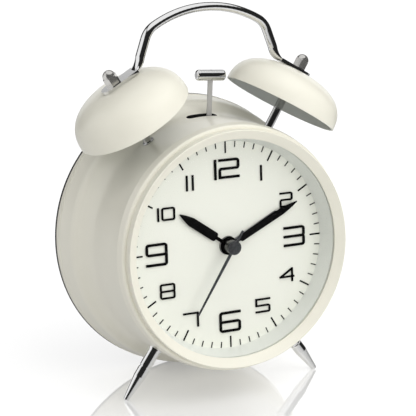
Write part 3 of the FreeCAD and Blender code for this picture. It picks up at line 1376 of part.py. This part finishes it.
def step_wheel():
    """Intermediate wheel between the rotor and the seconds wheel."""
    x, z = STEP
    y0, y1 = wheel_y(STEP_WHEEL_Y)
    wheel = gear(x, z, STEP_WHEEL_TEETH, STEP_MODULE, y0, y1, STEP_ANGLE)
    p0, p1 = pinion_y(SECONDS_WHEEL_Y)
    pinion = gear(x, z, STEP_PINION_TEETH, STEP_MODULE, p0, p1,
                  gap_phase(STEP_PINION_TEETH, STEP_ANGLE + 180))
    arbor = cyl(x, z, STEP_ARBOR_R, STATOR_Y - SEAT, CASE_REAR_Y - SEAT)
    return fused([wheel, pinion, arbor])


def rotor():
    """Magnet rotor and its pinion."""
    x, z = ROTOR
    p0, p1 = pinion_y(STEP_WHEEL_Y)
    pinion = gear(x, z, ROTOR_TEETH, STEP_MODULE, p0, p1, gap_phase(ROTOR_TEETH, STEP_ANGLE + 180))
    magnet = cyl(x, z, ROTOR_R, STATOR_Y - SEAT, p0)
    arbor = cyl(x, z, STEP_ARBOR_R, STATOR_Y - SEAT, CASE_REAR_Y - SEAT)
    return fused([pinion, magnet, arbor])


def stator():
    """Thin iron plate around the rotor with two arms to the ends of the coil's core."""
    x, z = ROTOR
    y0 = STATOR_Y
    y1 = STATOR_Y + STATOR_THICK
    outer = ROTOR_R + FREE + STATOR_RING
    coil_half = COIL_LENGTH / 2 + SEAT
    low = COIL_Z - coil_half
    high = COIL_Z + coil_half
    right = COIL_X + COIL_CORE_R
    arm_x = COIL_X - COIL_R - FREE
    plates = [cyl(x, z, outer, y0, y1),
              block(x, right, y0, y1, low - STATOR_ARM, low),
              block(arm_x - STATOR_ARM, arm_x, y0, y1, z, high + STATOR_ARM),
              block(arm_x - STATOR_ARM, right, y0, y1, high, high + STATOR_ARM)]
    core = Part.makeCylinder(COIL_CORE_R, high - low + 2 * STATOR_ARM,
                             V(COIL_X, COIL_Y, low - STATOR_ARM))
    for z0 in (low - STATOR_ARM, high):
        plates.append(block(COIL_X - COIL_CORE_R, right, y0, COIL_Y + COIL_CORE_R, z0,
                            z0 + STATOR_ARM))
    return fused(plates + [core]).cut(cyl(x, z, ROTOR_R + FREE, y0, y1))


def coil():
    """Wound coil on a bobbin with two flanges."""
    half = COIL_LENGTH / 2
    low = COIL_Z - half
    winding = Part.makeCylinder(COIL_R - FREE, COIL_LENGTH, V(COIL_X, COIL_Y, low))
    flanges = [Part.makeCylinder(COIL_R, BOARD_THICK, V(COIL_X, COIL_Y, z0))
               for z0 in (low, COIL_Z + half - BOARD_THICK)]
    bore = Part.makeCylinder(COIL_CORE_R + RUN, COIL_LENGTH, V(COIL_X, COIL_Y, low))
    return fused([winding] + flanges).cut(bore)


BOARD_REAR_Y = CASE_REAR_Y - CASE_WALL - BOARD_FOOT
BOARD_FRONT_Y = BOARD_REAR_Y - BOARD_THICK


def circuit_board():
    """Small board on four feet, with the drive chip under a round drop of resin."""
    half_x = BOARD_WIDTH / 2
    half_z = BOARD_HEIGHT / 2
    board = block(BOARD_X - half_x, BOARD_X + half_x, BOARD_FRONT_Y, BOARD_REAR_Y,
                  BOARD_Z - half_z, BOARD_Z + half_z)
    foot_x = half_x - BOARD_FOOT_R
    foot_z = half_z - BOARD_FOOT_R
    feet = [cyl(BOARD_X + sx * foot_x, BOARD_Z + sz * foot_z, BOARD_FOOT_R,
                BOARD_FRONT_Y, BOARD_REAR_Y + BOARD_FOOT) for sx in (-1, 1) for sz in (-1, 1)]
    chip = cyl(BOARD_X, BOARD_Z - half_z / 3, CHIP_R, BOARD_FRONT_Y - CHIP_THICK, BOARD_FRONT_Y)
    return fused([board, chip] + feet)


def crystal():
    """Quartz crystal can lying on the board."""
    return along_x(BOARD_X - CRYSTAL_LENGTH / 2, BOARD_X + CRYSTAL_LENGTH / 2,
                   BOARD_FRONT_Y - CRYSTAL_R, BOARD_Z + BOARD_HEIGHT / 4, CRYSTAL_R)


# ================================================================ hands
def turned_to(shape, clock_angle):
    """A hand drawn at twelve, turned clockwise as seen from the front."""
    return shape.rotate(V(0, 0, 0), V(0, 1, 0), clock_angle)


def lance(body, shoulder, tip, width, y):
    """Hand blade: rounded inner end, parallel sides, then a bowed taper to a blunt point."""
    half = width / 2
    point = NECK_WIDTH / 8
    heel = half / 2
    near = heel * (1 - math.sqrt(0.5))
    bow = (shoulder + tip) / 2
    wide = half * LANCE_SHARE
    outline = wire_of((heel - half, body), [
        (half - heel, body),
        ((half - near, body + near), (half, body + heel)),
        (half, shoulder),
        ((wide, bow), (point, tip)),
        (-point, tip),
        ((-wide, bow), (-half, shoulder)),
        (-half, body + heel),
        ((near - half, body + near), (heel - half, body)),
    ])
    face = Part.Face(outline)
    face.rotate(V(0, 0, 0), V(1, 0, 0), 90)
    face.translate(V(0, y + HAND_THICK, 0))
    return face.extrude(V(0, -HAND_THICK, 0))


def hour_hand():
    """Black hour hand pressed on the hour pipe."""
    y = HOUR_HAND_Y
    hub = cyl(0, 0, HAND_HUB_R, y, y + HAND_THICK)
    neck = block(-NECK_WIDTH / 2, NECK_WIDTH / 2, y, y + HAND_THICK, 0, HOUR_BODY + HOUR_WIDTH)
    blade = lance(HOUR_BODY, HOUR_SHOULDER, HOUR_TIP, HOUR_WIDTH, y)
    bore = cyl(0, 0, HOUR_PIPE_R, y, y + HAND_THICK)
    return turned_to(fused([hub, neck, blade]).cut(bore), HOUR_ANGLE)


def minute_hand():
    """Black minute hand pressed on the minute pipe, with a tall boss behind the second hand."""
    y = MINUTE_HAND_Y
    hub = cyl(0, 0, MINUTE_HUB_R, y, y + HAND_THICK)
    boss = cyl(0, 0, BOSS_R, SECOND_HAND_Y + HAND_THICK + FREE, y)
    neck = block(-NECK_WIDTH / 2, NECK_WIDTH / 2, y, y + HAND_THICK, 0, MINUTE_BODY + MINUTE_WIDTH)
    blade = lance(MINUTE_BODY, MINUTE_SHOULDER, MINUTE_TIP, MINUTE_WIDTH, y)
    seat = cyl(0, 0, MINUTE_PIPE_R, y, y + HAND_THICK)
    bore = cyl(0, 0, ARBOR_R + FREE, SECOND_HAND_Y, y)
    return turned_to(fused([hub, boss, neck, blade]).cut(seat).cut(bore), MINUTE_ANGLE)


def alarm_hand():
    """Grey alarm hand on the alarm pipe."""
    y = ALARM_HAND_Y
    hub = cyl(0, 0, HAND_HUB_R, y, y + HAND_THICK)
    half = ALARM_WIDTH / 2
    blade = block(-half, half, y, y + HAND_THICK, 0, ALARM_TIP)
    bore = cyl(0, 0, ALARM_PIPE_R, y, y + HAND_THICK)
    return turned_to(fused([hub, blade]).cut(bore), ALARM_ANGLE)


def second_hand():
    """Tapered second hand with a square tail and a round cap over the arbor's end."""
    y = SECOND_HAND_Y
    wide = SECOND_WIDE / 2
    narrow = SECOND_NARROW / 2
    tail = SECOND_TAIL_WIDTH / 2
    blade = plate([(-tail, -SECOND_TAIL), (tail, -SECOND_TAIL), (wide, 0), (narrow, SECOND_TIP),
                   (-narrow, SECOND_TIP), (-wide, 0)], y, y + HAND_THICK)
    cap = cyl(0, 0, CAP_R, CAP_FRONT_Y, y + HAND_THICK)
    bore = cyl(0, 0, ARBOR_R, y, y + HAND_THICK)
    return turned_to(fused([blade, cap]).cut(bore), SECOND_ANGLE)


# ================================================================ assembly
def all_pieces():
    """Every node of the clock, still in the clock frame."""
    bell = right_bell()
    return {
        "case_shell": case_shell(),
        "front_bezel": front_bezel(),
        "lens": lens(),
        "dial_surround": dial_surround(),
        "dial_plate": dial_plate(),
        "minute_marks": minute_marks(),
        "hour_numerals": hour_numerals(),
        "rear_ring": rear_ring(),
        "rear_cover": rear_cover(),
        "cover_screws": cover_screws(),
        "battery_door": battery_door(),
        "battery_cells": battery_cells(),
        "battery_contacts": contact_springs(),
        "chassis": chassis(),
        "bell_right": bell,
        "bell_left": mirrored(bell),
        "bell_posts": pair(right_post()),
        "post_nuts": pair(post_nut()),
        "post_washers": pair(post_washer()),
        "cap_nuts": pair(cap_nut()),
        "handle": handle(),
        "legs": pair(right_leg()),
        "leg_collars": pair(leg_collar()),
        "leg_nuts": pair(leg_nut()),
        "hammer_arm": hammer_arm(),
        "hammer_head": hammer_head(),
        "hammer_pivot": hammer_pivot(),
        "crank_gear": crank_gear(),
        "crank_arbor": crank_arbor(),
        "motor_pinion": motor_pinion(),
        "hammer_motor": hammer_motor(),
        "movement_front": movement_front(),
        "movement_rear": movement_rear(),
        "alarm_wheel": alarm_wheel(),
        "hour_wheel": hour_wheel(),
        "minute_wheel": minute_wheel(),
        "motion_wheel": motion_wheel(),
        "alarm_arbor": alarm_arbor(),
        "third_wheel": third_wheel(),
        "seconds_wheel": seconds_wheel(),
        "step_wheel": step_wheel(),
        "step_rotor": rotor(),
        "step_stator": stator(),
        "step_coil": coil(),
        "circuit_board": circuit_board(),
        "quartz_crystal": crystal(),
        "hour_hand": hour_hand(),
        "minute_hand": minute_hand(),
        "alarm_hand": alarm_hand(),
        "second_hand": second_hand(),
        "time_set_knob": knob(TIME_SET),
        "alarm_set_knob": knob(ALARM_SET),
        "alarm_switch_body": alarm_switch_body(),
        "alarm_switch": alarm_switch(),
    }


def stance(pieces):
    """Placement that leans the clock back, rests it on z = 0 and centres it over the origin."""
    lean = FreeCAD.Placement(V(0, 0, 0), FreeCAD.Rotation(V(1, 0, 0), -LEAN))
    whole = Part.makeCompound(list(pieces.values()))
    box = whole.transformed(lean.toMatrix(), True).optimalBoundingBox(False, False)
    shift = V(-(box.XMin + box.XMax) / 2, -(box.YMin + box.YMax) / 2, REST_DROP)
    return FreeCAD.Placement(shift, lean.Rotation)


def write_parts():
    """Write each node to parts/NODE.step in its final place."""
    os.makedirs("parts", exist_ok=True)
    pieces = all_pieces()
    placement = stance(pieces)
    for name, shape in pieces.items():
        placed = shape.transformed(placement.toMatrix(), True)
        placed.exportStep(f"parts/{name}.step")
    return placement


PLACEMENT = write_parts()
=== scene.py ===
import bpy
import json
import math
from mathutils import Matrix, Vector

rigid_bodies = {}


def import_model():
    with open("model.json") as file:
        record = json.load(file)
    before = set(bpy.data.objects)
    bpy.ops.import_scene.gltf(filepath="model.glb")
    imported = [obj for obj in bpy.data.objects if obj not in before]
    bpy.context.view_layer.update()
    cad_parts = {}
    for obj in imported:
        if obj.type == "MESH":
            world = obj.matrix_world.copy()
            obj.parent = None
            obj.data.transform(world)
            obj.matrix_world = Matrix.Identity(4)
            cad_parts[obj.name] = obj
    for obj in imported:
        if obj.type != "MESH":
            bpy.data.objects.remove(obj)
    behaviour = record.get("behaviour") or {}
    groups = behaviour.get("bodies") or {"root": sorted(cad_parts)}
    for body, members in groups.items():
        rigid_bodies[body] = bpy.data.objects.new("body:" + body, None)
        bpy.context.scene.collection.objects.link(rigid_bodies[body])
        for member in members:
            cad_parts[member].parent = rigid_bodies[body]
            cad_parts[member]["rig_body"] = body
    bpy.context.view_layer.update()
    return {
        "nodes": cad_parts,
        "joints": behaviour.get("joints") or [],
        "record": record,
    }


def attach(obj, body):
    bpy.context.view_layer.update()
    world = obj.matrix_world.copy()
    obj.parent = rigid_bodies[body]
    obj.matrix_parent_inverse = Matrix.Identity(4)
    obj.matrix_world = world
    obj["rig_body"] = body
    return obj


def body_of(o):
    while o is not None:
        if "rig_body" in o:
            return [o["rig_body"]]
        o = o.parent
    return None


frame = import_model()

NODES = frame["nodes"]
MM = 0.001

# ---------------------------------------------------------------- clock frame
# X right, Y into the clock, Z up in the plane of the dial, origin at the centre of the dial.
JOINTS = {joint["name"]: joint for joint in frame["joints"]}
DIAL_CENTRE = Vector(JOINTS["second_spin"]["pos_m"])
AXIS_X = Vector((1, 0, 0))
AXIS_Y = Vector(JOINTS["second_spin"]["axis"]).normalized()
AXIS_Z = AXIS_X.cross(AXIS_Y)


def direction(x, y, z):
    """Direction given in the clock frame, in the row frame."""
    return AXIS_X * x + AXIS_Y * y + AXIS_Z * z


def point(x, y, z):
    """Point given in the clock frame in millimetres, in the row frame in metres."""
    return DIAL_CENTRE + direction(x, y, z) * MM


def in_clock(place):
    """Point of the row frame, as millimetres in the clock frame."""
    offset = place - DIAL_CENTRE
    return Vector((offset.dot(AXIS_X), offset.dot(AXIS_Y), offset.dot(AXIS_Z))) / MM


# ---------------------------------------------------------------- camera
# Place in millimetres and the picture's three directions, all in the clock frame.
CAMERA_PLACE = (-316.22, -638.77, 152.27)
CAMERA_RIGHT = (0.8980018, -0.4389168, -0.0307365)
CAMERA_DOWN = (-0.1095681, -0.1554206, -0.9817532)
CAMERA_AHEAD = (0.4261309, 0.8849839, -0.1876593)
CAMERA_LENS = 150.83
SENSOR = 36.0
CLIP_NEAR = 0.05
CLIP_FAR = 30.0


def make_camera():
    """Camera at the viewing angle of the photograph."""
    data = bpy.data.cameras.new("camera")
    data.lens = CAMERA_LENS
    data.sensor_width = SENSOR
    data.sensor_height = SENSOR
    data.clip_start = CLIP_NEAR
    data.clip_end = CLIP_FAR
    camera = bpy.data.objects.new("camera", data)
    bpy.context.scene.collection.objects.link(camera)
    right = direction(*CAMERA_RIGHT)
    up = -direction(*CAMERA_DOWN)
    back = -direction(*CAMERA_AHEAD)
    turn = Matrix((right, up, back)).transposed().to_4x4()
    camera.matrix_world = Matrix.Translation(point(*CAMERA_PLACE)) @ turn
    bpy.context.scene.camera = camera


# ---------------------------------------------------------------- node tools
MIX_FIRST = 6      # sockets of a Mix node that blends colours
MIX_SECOND = 7
MIX_RESULT = 2


def connect(tree, node, inputs):
    """Gives each named input of a node its constant, or a link from another node's output."""
    for key, value in inputs.items():
        if isinstance(value, bpy.types.NodeSocket):
            tree.links.new(value, node.inputs[key])
        else:
            node.inputs[key].default_value = value


def add_node(tree, kind, inputs=None, **settings):
    """New node with its settings and its inputs."""
    node = tree.nodes.new(kind)
    for key, value in settings.items():
        setattr(node, key, value)
    connect(tree, node, inputs or {})
    return node


def calculate(tree, operation, first, second):
    """Result of a calculation with two values."""
    return add_node(tree, "ShaderNodeMath", {0: first, 1: second}, operation=operation).outputs["Value"]


def product(tree, first, second):
    """Product of two values."""
    return calculate(tree, "MULTIPLY", first, second)


def larger(tree, first, second):
    """Larger of two values."""
    return calculate(tree, "MAXIMUM", first, second)


def along(tree, place, axis):
    """Part of a direction that lies along an axis."""
    dot = add_node(tree, "ShaderNodeVectorMath", {0: place, 1: axis}, operation="DOT_PRODUCT")
    return dot.outputs["Value"]


def soft_mask(tree, value, edge):
    """0 below the edge's lower end, 1 above its upper end, and smooth between them."""
    low, high = edge
    mask = add_node(tree, "ShaderNodeMapRange", {"Value": value, "From Min": low, "From Max": high},
                    interpolation_type="SMOOTHSTEP")
    return mask.outputs["Result"]


def map_range(tree, value, low, high, start=0.0, end=1.0):
    """Value from start..end, mapped to low..high."""
    node = add_node(tree, "ShaderNodeMapRange", {"Value": value, "From Min": start, "From Max": end,
                                                 "To Min": low, "To Max": high})
    return node.outputs["Result"]


def grey(level):
    """Opaque grey."""
    return (level, level, level, 1.0)


# ---------------------------------------------------------------- material tools
PATCH_DETAIL = 3.0
GRAIN_DETAIL = 2.0
NOISE_ROUGHNESS = 0.55
NOISE_RANGE = (0.3, 0.7)    # most of a noise value lies here
TONE_STOPS = (0.35, 0.65)
COAT_ROUGHNESS = 0.12


def new_material(name):
    """Node material, its tree and its Principled shader."""
    material = bpy.data.materials.new(name)
    material.use_nodes = True
    tree = material.node_tree
    return material, tree, tree.nodes["Principled BSDF"]


def object_place(tree, stretch):
    """Object coordinates, stretched along each axis."""
    place = add_node(tree, "ShaderNodeTexCoord").outputs["Object"]
    mapping = add_node(tree, "ShaderNodeMapping", {"Vector": place, "Scale": stretch})
    return mapping.outputs["Vector"]


def noise(tree, place, scale, detail):
    """Noise value at a place."""
    node = add_node(tree, "ShaderNodeTexNoise", {"Vector": place, "Scale": scale, "Detail": detail,
                                                 "Roughness": NOISE_ROUGHNESS})
    return node.outputs["Fac"]


def tint(colour, factor):
    """Opaque colour, made lighter or darker."""
    return tuple(min(1.0, channel * factor) for channel in colour) + (1.0,)


def two_tones(tree, value, colour, tone):
    """Colour that varies with a noise value, by the share tone to either side."""
    node = add_node(tree, "ShaderNodeValToRGB", {"Fac": value})
    tones = (tint(colour, 1 - tone), tint(colour, 1 + tone))
    for element, position, shade in zip(node.color_ramp.elements, TONE_STOPS, tones):
        element.position = position
        element.color = shade
    return node.outputs["Color"]


def finish_material(name, colour, roughness, spread=0.04, tone=0.03, metallic=0.0, grain=900.0,
                    depth=0.02, stretch=(1, 1, 1), coat=0.0, patch=45.0, gloss=0.5):
    """Surface with slight changes of tone and roughness in patches, and a fine bump.

    Grain and patch are noise scales per metre; depth is the height of the bump in millimetres.
    """
    material, tree, shader = new_material(name)
    place = object_place(tree, stretch)
    patches = noise(tree, place, patch, PATCH_DETAIL)
    fine = noise(tree, place, grain, GRAIN_DETAIL)
    bump = add_node(tree, "ShaderNodeBump", {"Height": fine, "Distance": depth * MM, "Strength": 1.0})
    connect(tree, shader, {
        "Base Color": two_tones(tree, patches, colour, tone),
        "Roughness": map_range(tree, patches, roughness - spread, roughness + spread, *NOISE_RANGE),
        "Metallic": metallic,
        "Specular IOR Level": gloss,
        "Coat Weight": coat,
        "Coat Roughness": COAT_ROUGHNESS,
        "Normal": bump.outputs["Normal"],
    })
    return material


# ---------------------------------------------------------------- materials
LENS_IOR = 1.05
LENS_PATCH = 30
LENS_HAZE = (0.0, 0.012)    # range of its roughness


def lens_material():
    """Clear lens with next to no mirror image of its own."""
    material, tree, shader = new_material("clear_lens")
    haze = noise(tree, object_place(tree, (1, 1, 1)), LENS_PATCH, PATCH_DETAIL)
    connect(tree, shader, {
        "Base Color": grey(1.0),
        "IOR": LENS_IOR,
        "Transmission Weight": 1.0,
        "Roughness": map_range(tree, haze, *LENS_HAZE, *NOISE_RANGE),
    })
    return material


def painted_materials():
    """Paints: the case, the dial with its surround and print, the inside of the bells, and near-black
    painted shade for the inside of the case.
    """
    return {
        "ivory": finish_material("ivory_paint", (0.83, 0.808, 0.70), 0.34, tone=0.012, grain=1400,
                                 depth=0.006, coat=0.25),
        "dial_paint": finish_material("dial_paint", (0.80, 0.81, 0.73), 0.6, tone=0.008, grain=2500,
                                      depth=0.004),
        "surround": finish_material("surround_grey", (0.765, 0.785, 0.735), 0.45, tone=0.02,
                                    stretch=(1, 0.2, 1)),
        "black_paint": finish_material("black_paint", (0.003, 0.003, 0.003), 0.5, tone=0.2, gloss=0.03),
        "grey_paint": finish_material("grey_paint", (0.036, 0.038, 0.040), 0.35, tone=0.4, patch=900,
                                      metallic=0.3, gloss=0.25),
        "bell_inside": finish_material("bell_inside", (0.60, 0.62, 0.61), 0.6, tone=0.05, gloss=0.2),
        # Near-black painted shade: stands in for the dark inside of the case, seen through the hammer
        # slot.
        "case_inside_painted_shade": finish_material("case_inside_painted_shade", (0.02, 0.02, 0.02), 0.7, tone=0.2, gloss=0.1),
    }


def metal_materials():
    """Plated, drawn and bare metals."""
    return {
        "chrome": finish_material("chrome_plate", (0.80, 0.80, 0.80), 0.06, spread=0.02, tone=0.02,
                                  metallic=1.0, grain=600, depth=0.002),
        "dark_chrome": finish_material("dark_chrome", (0.56, 0.56, 0.56), 0.08, spread=0.02, tone=0.02,
                                       metallic=1.0, grain=600, depth=0.002),
        "nickel": finish_material("nickel_plate", (0.58, 0.57, 0.55), 0.14, spread=0.03, metallic=0.85,
                                  depth=0.004),
        "drawn_wire": finish_material("drawn_wire", (0.54, 0.53, 0.51), 0.4, spread=0.05, tone=0.05,
                                      metallic=0.3, depth=0.004),
        "steel": finish_material("plain_steel", (0.50, 0.50, 0.51), 0.32, spread=0.08, metallic=1.0,
                                 grain=1500, depth=0.004, stretch=(1, 0.1, 1)),
        "brass": finish_material("plain_brass", (0.70, 0.52, 0.22), 0.28, metallic=1.0),
        "copper": finish_material("copper_wire", (0.55, 0.22, 0.08), 0.3, metallic=0.9, grain=300,
                                  depth=0.1, stretch=(1, 1, 40)),
        "hub_edge": finish_material("hub_edge", (0.12, 0.12, 0.12), 0.25, metallic=1.0),
    }


def plastic_materials():
    """Plastics, the wrap of the cells and the circuit board."""
    return {
        "black_plastic": finish_material("black_plastic", (0.016, 0.016, 0.018), 0.42, tone=0.15,
                                         grain=2200, depth=0.03, gloss=0.2),
        "white_plastic": finish_material("white_plastic", (0.78, 0.78, 0.76), 0.4),
        "cell": finish_material("cell_wrap", (0.05, 0.12, 0.2), 0.3, metallic=0.4),
        "board": finish_material("board_green", (0.02, 0.12, 0.05), 0.35),
    }


# ---------------------------------------------------------------- dressing of the CAD nodes
OWN_FINISHES = {"cap_nuts": "nickel", "hammer_arm": "drawn_wire", "alarm_hand": "steel",
                "bell_posts": "dark_chrome"}
SIDEWAYS = 0.5              # limit between a face that looks along an axis and one beside it
BELL_CENTRES = {"bell_right": (34.05, 14.6, 55.05), "bell_left": (-34.05, 14.6, 55.05)}
MINUTE_PIPE_R = 2.9
HUB_MARGIN = 0.06
SLOT_X = -0.5               # the hammer slot in the case: its middle and half its size
SLOT_Y = 20.2
SLOT_REACH = 7.3
SLOT_DEPTH = 2.4


def dress_nodes(materials):
    """Gives each CAD node the material of its slot, or a finish of its own."""
    slots = {entry["node"]: entry["material_slot"] for entry in frame["record"]["subparts"]}
    for name, node in NODES.items():
        node.data.materials.clear()
        node.data.materials.append(materials[OWN_FINISHES.get(name, slots[name])])


def dress_faces(node, material, chosen):
    """Gives the faces for which chosen(centre, normal) is true a second material."""
    mesh = node.data
    mesh.materials.append(material)
    last = len(mesh.materials) - 1
    for face in mesh.polygons:
        if chosen(face.center, face.normal):
            face.material_index = last


def is_side(normal):
    """Whether a face looks away from the clock's axis rather than along it."""
    return abs(normal.dot(AXIS_Y)) < SIDEWAYS


def on_hub(place, normal):
    """Whether a face of the minute hand is the side of its pipe."""
    x, _, z = in_clock(place)
    return abs(math.hypot(x, z) - MINUTE_PIPE_R) < HUB_MARGIN and is_side(normal)


def in_case(place, normal):
    """Whether a face of the case looks inward or is an edge of the hammer slot; these faces take the
    near-black painted shade.
    """
    x, y, z = in_clock(place)
    outward = normal.dot(direction(x, 0, z).normalized())
    at_slot = abs(x - SLOT_X) < SLOT_REACH and abs(y - SLOT_Y) < SLOT_DEPTH and z > 0
    return outward < -SIDEWAYS or (at_slot and abs(outward) < SIDEWAYS)


def dress_details(materials):
    """Second material of some faces: inside of the bells, painted shade inside the case and on the
    hammer slot's edges, minute hand's hub, lens rim.
    """
    for name, middle in BELL_CENTRES.items():
        centre = point(*middle)
        dress_faces(NODES[name], materials["bell_inside"],
                    lambda place, normal: normal.dot(place - centre) < 0)
    dress_faces(NODES["minute_hand"], materials["hub_edge"], on_hub)
    # The inside of the case and the edges of the hammer slot get painted shade.
    dress_faces(NODES["case_shell"], materials["case_inside_painted_shade"], in_case)
    dress_faces(NODES["lens"], materials["surround"], lambda place, normal: is_side(normal))


def clear_lens():
    """The lens lets light through to the dial without shade."""
    NODES["lens"].visible_shadow = False
    NODES["lens"].visible_diffuse = False


# ---------------------------------------------------------------- border of the lens
BORDER_IN_R = 46.0
BORDER_OUT_R = 47.7
BORDER_FRONT_Y = -7.74
BORDER_REAR_Y = -7.71
BORDER_STEPS = 180


def make_border(material):
    """Painted border on the back of the lens, in front of the rim of the surround."""
    corners = ((BORDER_IN_R, BORDER_FRONT_Y), (BORDER_OUT_R, BORDER_FRONT_Y),
               (BORDER_OUT_R, BORDER_REAR_Y), (BORDER_IN_R, BORDER_REAR_Y))
    count = len(corners)
    places, faces = [], []
    for step in range(BORDER_STEPS):
        angle = 2 * math.pi * step / BORDER_STEPS
        following = (step + 1) % BORDER_STEPS
        for index, (radius, depth) in enumerate(corners):
            beside = (index + 1) % count
            places.append(point(radius * math.cos(angle), depth, radius * math.sin(angle)))
            faces.append((step * count + index, following * count + index,
                          following * count + beside, step * count + beside))
    mesh = bpy.data.meshes.new("lens_border")
    mesh.from_pydata(places, [], faces)
    mesh.materials.append(material)
    border = bpy.data.objects.new("lens_border", mesh)
    bpy.context.scene.collection.objects.link(border)
    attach(border, body_of(NODES["lens"])[0])


# ---------------------------------------------------------------- studio
# Directions of the row frame, seen from the camera.
STUDIO_LEFT = (-0.896, 0.444, 0.0)
STUDIO_RIGHT = (0.896, -0.444, 0.0)
STUDIO_AWAY = (0.444, 0.896, 0.0)
STUDIO_TOWARD = (-0.444, -0.896, 0.0)
UPWARD = (0, 0, 1)
DOWNWARD = (0, 0, -1)

# Table: colour, mirror share, added light, and where mirrors see it fade to a dark room.
FLOOR_HALF = 6.0
FLOOR_WHITE = 0.86
FLOOR_ROUGHNESS = 0.05
FLOOR_MIRROR = 0.35
FLOOR_LIFT = 0.245
TABLE_EDGE = (0.22, 0.42)           # metres from the middle of the clock
TABLE_LEFT_EDGE = (-0.62, -0.50)    # along STUDIO_RIGHT: the left stays white
ROOM_GREY = 0.04

# Surroundings: light on matt surfaces, and the white panels that metal sees, by their soft edges.
WORLD_DIFFUSE = 0.69
DARK_LEVEL = 0.02
ABOVE_EDGE = (0.68, 0.77)
LEFT_EDGE = (0.66, 0.78)
LEFT_TOWARD_EDGE = (-0.50, -0.40)
BEHIND_EDGE = (0.80, 0.88)
BEHIND_DOWN_EDGE = (-0.46, -0.40)

# Lamps: name, place in metres in the row frame, size in metres, power in watts.
LAMPS = (
    ("key", (0.35, -0.95, 0.08), 0.7, 3.7),
    ("top", (0.30, -0.50, 0.95), 0.9, 3.8),
    ("side", (0.95, -0.45, 0.15), 0.7, 1.2),
    ("fill", (-0.38, -0.94, 0.12), 0.9, 1.8),
)
LAMP_TARGET = (0, 10, 20)           # clock frame, millimetres


def floor_material():
    """Pale glossy table; in mirrors it fades to a dark room, apart from the left."""
    material, tree, shader = new_material("floor_white")
    path = add_node(tree, "ShaderNodeLightPath").outputs
    place = add_node(tree, "ShaderNodeNewGeometry").outputs["Position"]
    reach = add_node(tree, "ShaderNodeVectorMath", {0: place}, operation="LENGTH")
    heading = add_node(tree, "ShaderNodeVectorMath", {0: place}, operation="NORMALIZE")
    rightward = along(tree, heading.outputs["Vector"], STUDIO_RIGHT)
    room = product(tree, soft_mask(tree, reach.outputs["Value"], TABLE_EDGE),
                   soft_mask(tree, rightward, TABLE_LEFT_EDGE))
    dark = product(tree, room, path["Is Glossy Ray"])
    colour = add_node(tree, "ShaderNodeMix", {"Factor": dark, MIX_FIRST: grey(FLOOR_WHITE),
                                              MIX_SECOND: grey(ROOM_GREY)}, data_type="RGBA")
    seen = larger(tree, path["Is Camera Ray"], path["Is Transmission Ray"])
    mirrored = calculate(tree, "SUBTRACT", path["Is Glossy Ray"], dark)
    connect(tree, shader, {
        "Base Color": colour.outputs[MIX_RESULT],
        "Roughness": FLOOR_ROUGHNESS,
        "Metallic": FLOOR_MIRROR,
        "Emission Color": grey(1.0),
        "Emission Strength": product(tree, larger(tree, seen, mirrored), FLOOR_LIFT),
    })
    return material


def make_floor():
    """Plain table that keeps the object's shadow and mirror image."""
    mesh = bpy.data.meshes.new("floor")
    corners = [(x * FLOOR_HALF, y * FLOOR_HALF, 0) for x, y in ((-1, -1), (1, -1), (1, 1), (-1, 1))]
    mesh.from_pydata(corners, [], [(0, 1, 2, 3)])
    mesh.materials.append(floor_material())
    floor = bpy.data.objects.new("floor", mesh)
    bpy.context.scene.collection.objects.link(floor)


def mirror_world(tree):
    """What metal sees: white above, to the left and behind, dark elsewhere."""
    place = add_node(tree, "ShaderNodeTexCoord").outputs["Generated"]

    def side(axis, edge):
        return soft_mask(tree, along(tree, place, axis), edge)

    left = product(tree, side(STUDIO_LEFT, LEFT_EDGE), side(STUDIO_TOWARD, LEFT_TOWARD_EDGE))
    behind = product(tree, side(STUDIO_AWAY, BEHIND_EDGE), side(DOWNWARD, BEHIND_DOWN_EDGE))
    bright = larger(tree, larger(tree, side(UPWARD, ABOVE_EDGE), left), behind)
    return map_range(tree, bright, DARK_LEVEL, 1.0)


def make_world():
    """White surroundings for the camera, plain soft light, and a studio that metal sees."""
    world = bpy.data.worlds.new("studio")
    bpy.context.scene.world = world
    world.use_nodes = True
    tree = world.node_tree
    path = add_node(tree, "ShaderNodeLightPath").outputs
    seen = larger(tree, path["Is Camera Ray"], path["Is Transmission Ray"])
    strength = add_node(tree, "ShaderNodeMix", {"Factor": path["Is Glossy Ray"],
                                                "A": map_range(tree, seen, WORLD_DIFFUSE, 1.0),
                                                "B": mirror_world(tree)})
    connect(tree, tree.nodes["Background"], {"Color": grey(1.0),
                                             "Strength": strength.outputs["Result"]})


def make_lamp(name, place, size, power):
    """Square soft lamp toward the clock, which mirrors don't show."""
    data = bpy.data.lights.new(name, "AREA")
    data.shape = "SQUARE"
    data.size = size
    data.energy = power
    lamp = bpy.data.objects.new(name, data)
    bpy.context.scene.collection.objects.link(lamp)
    lamp.location = place
    lamp.rotation_euler = (point(*LAMP_TARGET) - Vector(place)).to_track_quat("-Z", "Y").to_euler()
    lamp.visible_glossy = False


make_camera()
make_floor()
make_world()
for lamp in LAMPS:
    make_lamp(*lamp)
MATERIALS = painted_materials() | metal_materials() | plastic_materials() | {"lens": lens_material()}
dress_nodes(MATERIALS)
dress_details(MATERIALS)
clear_lens()
make_border(MATERIALS["surround"])
bpy.context.scene.view_settings.view_transform = "Standard"
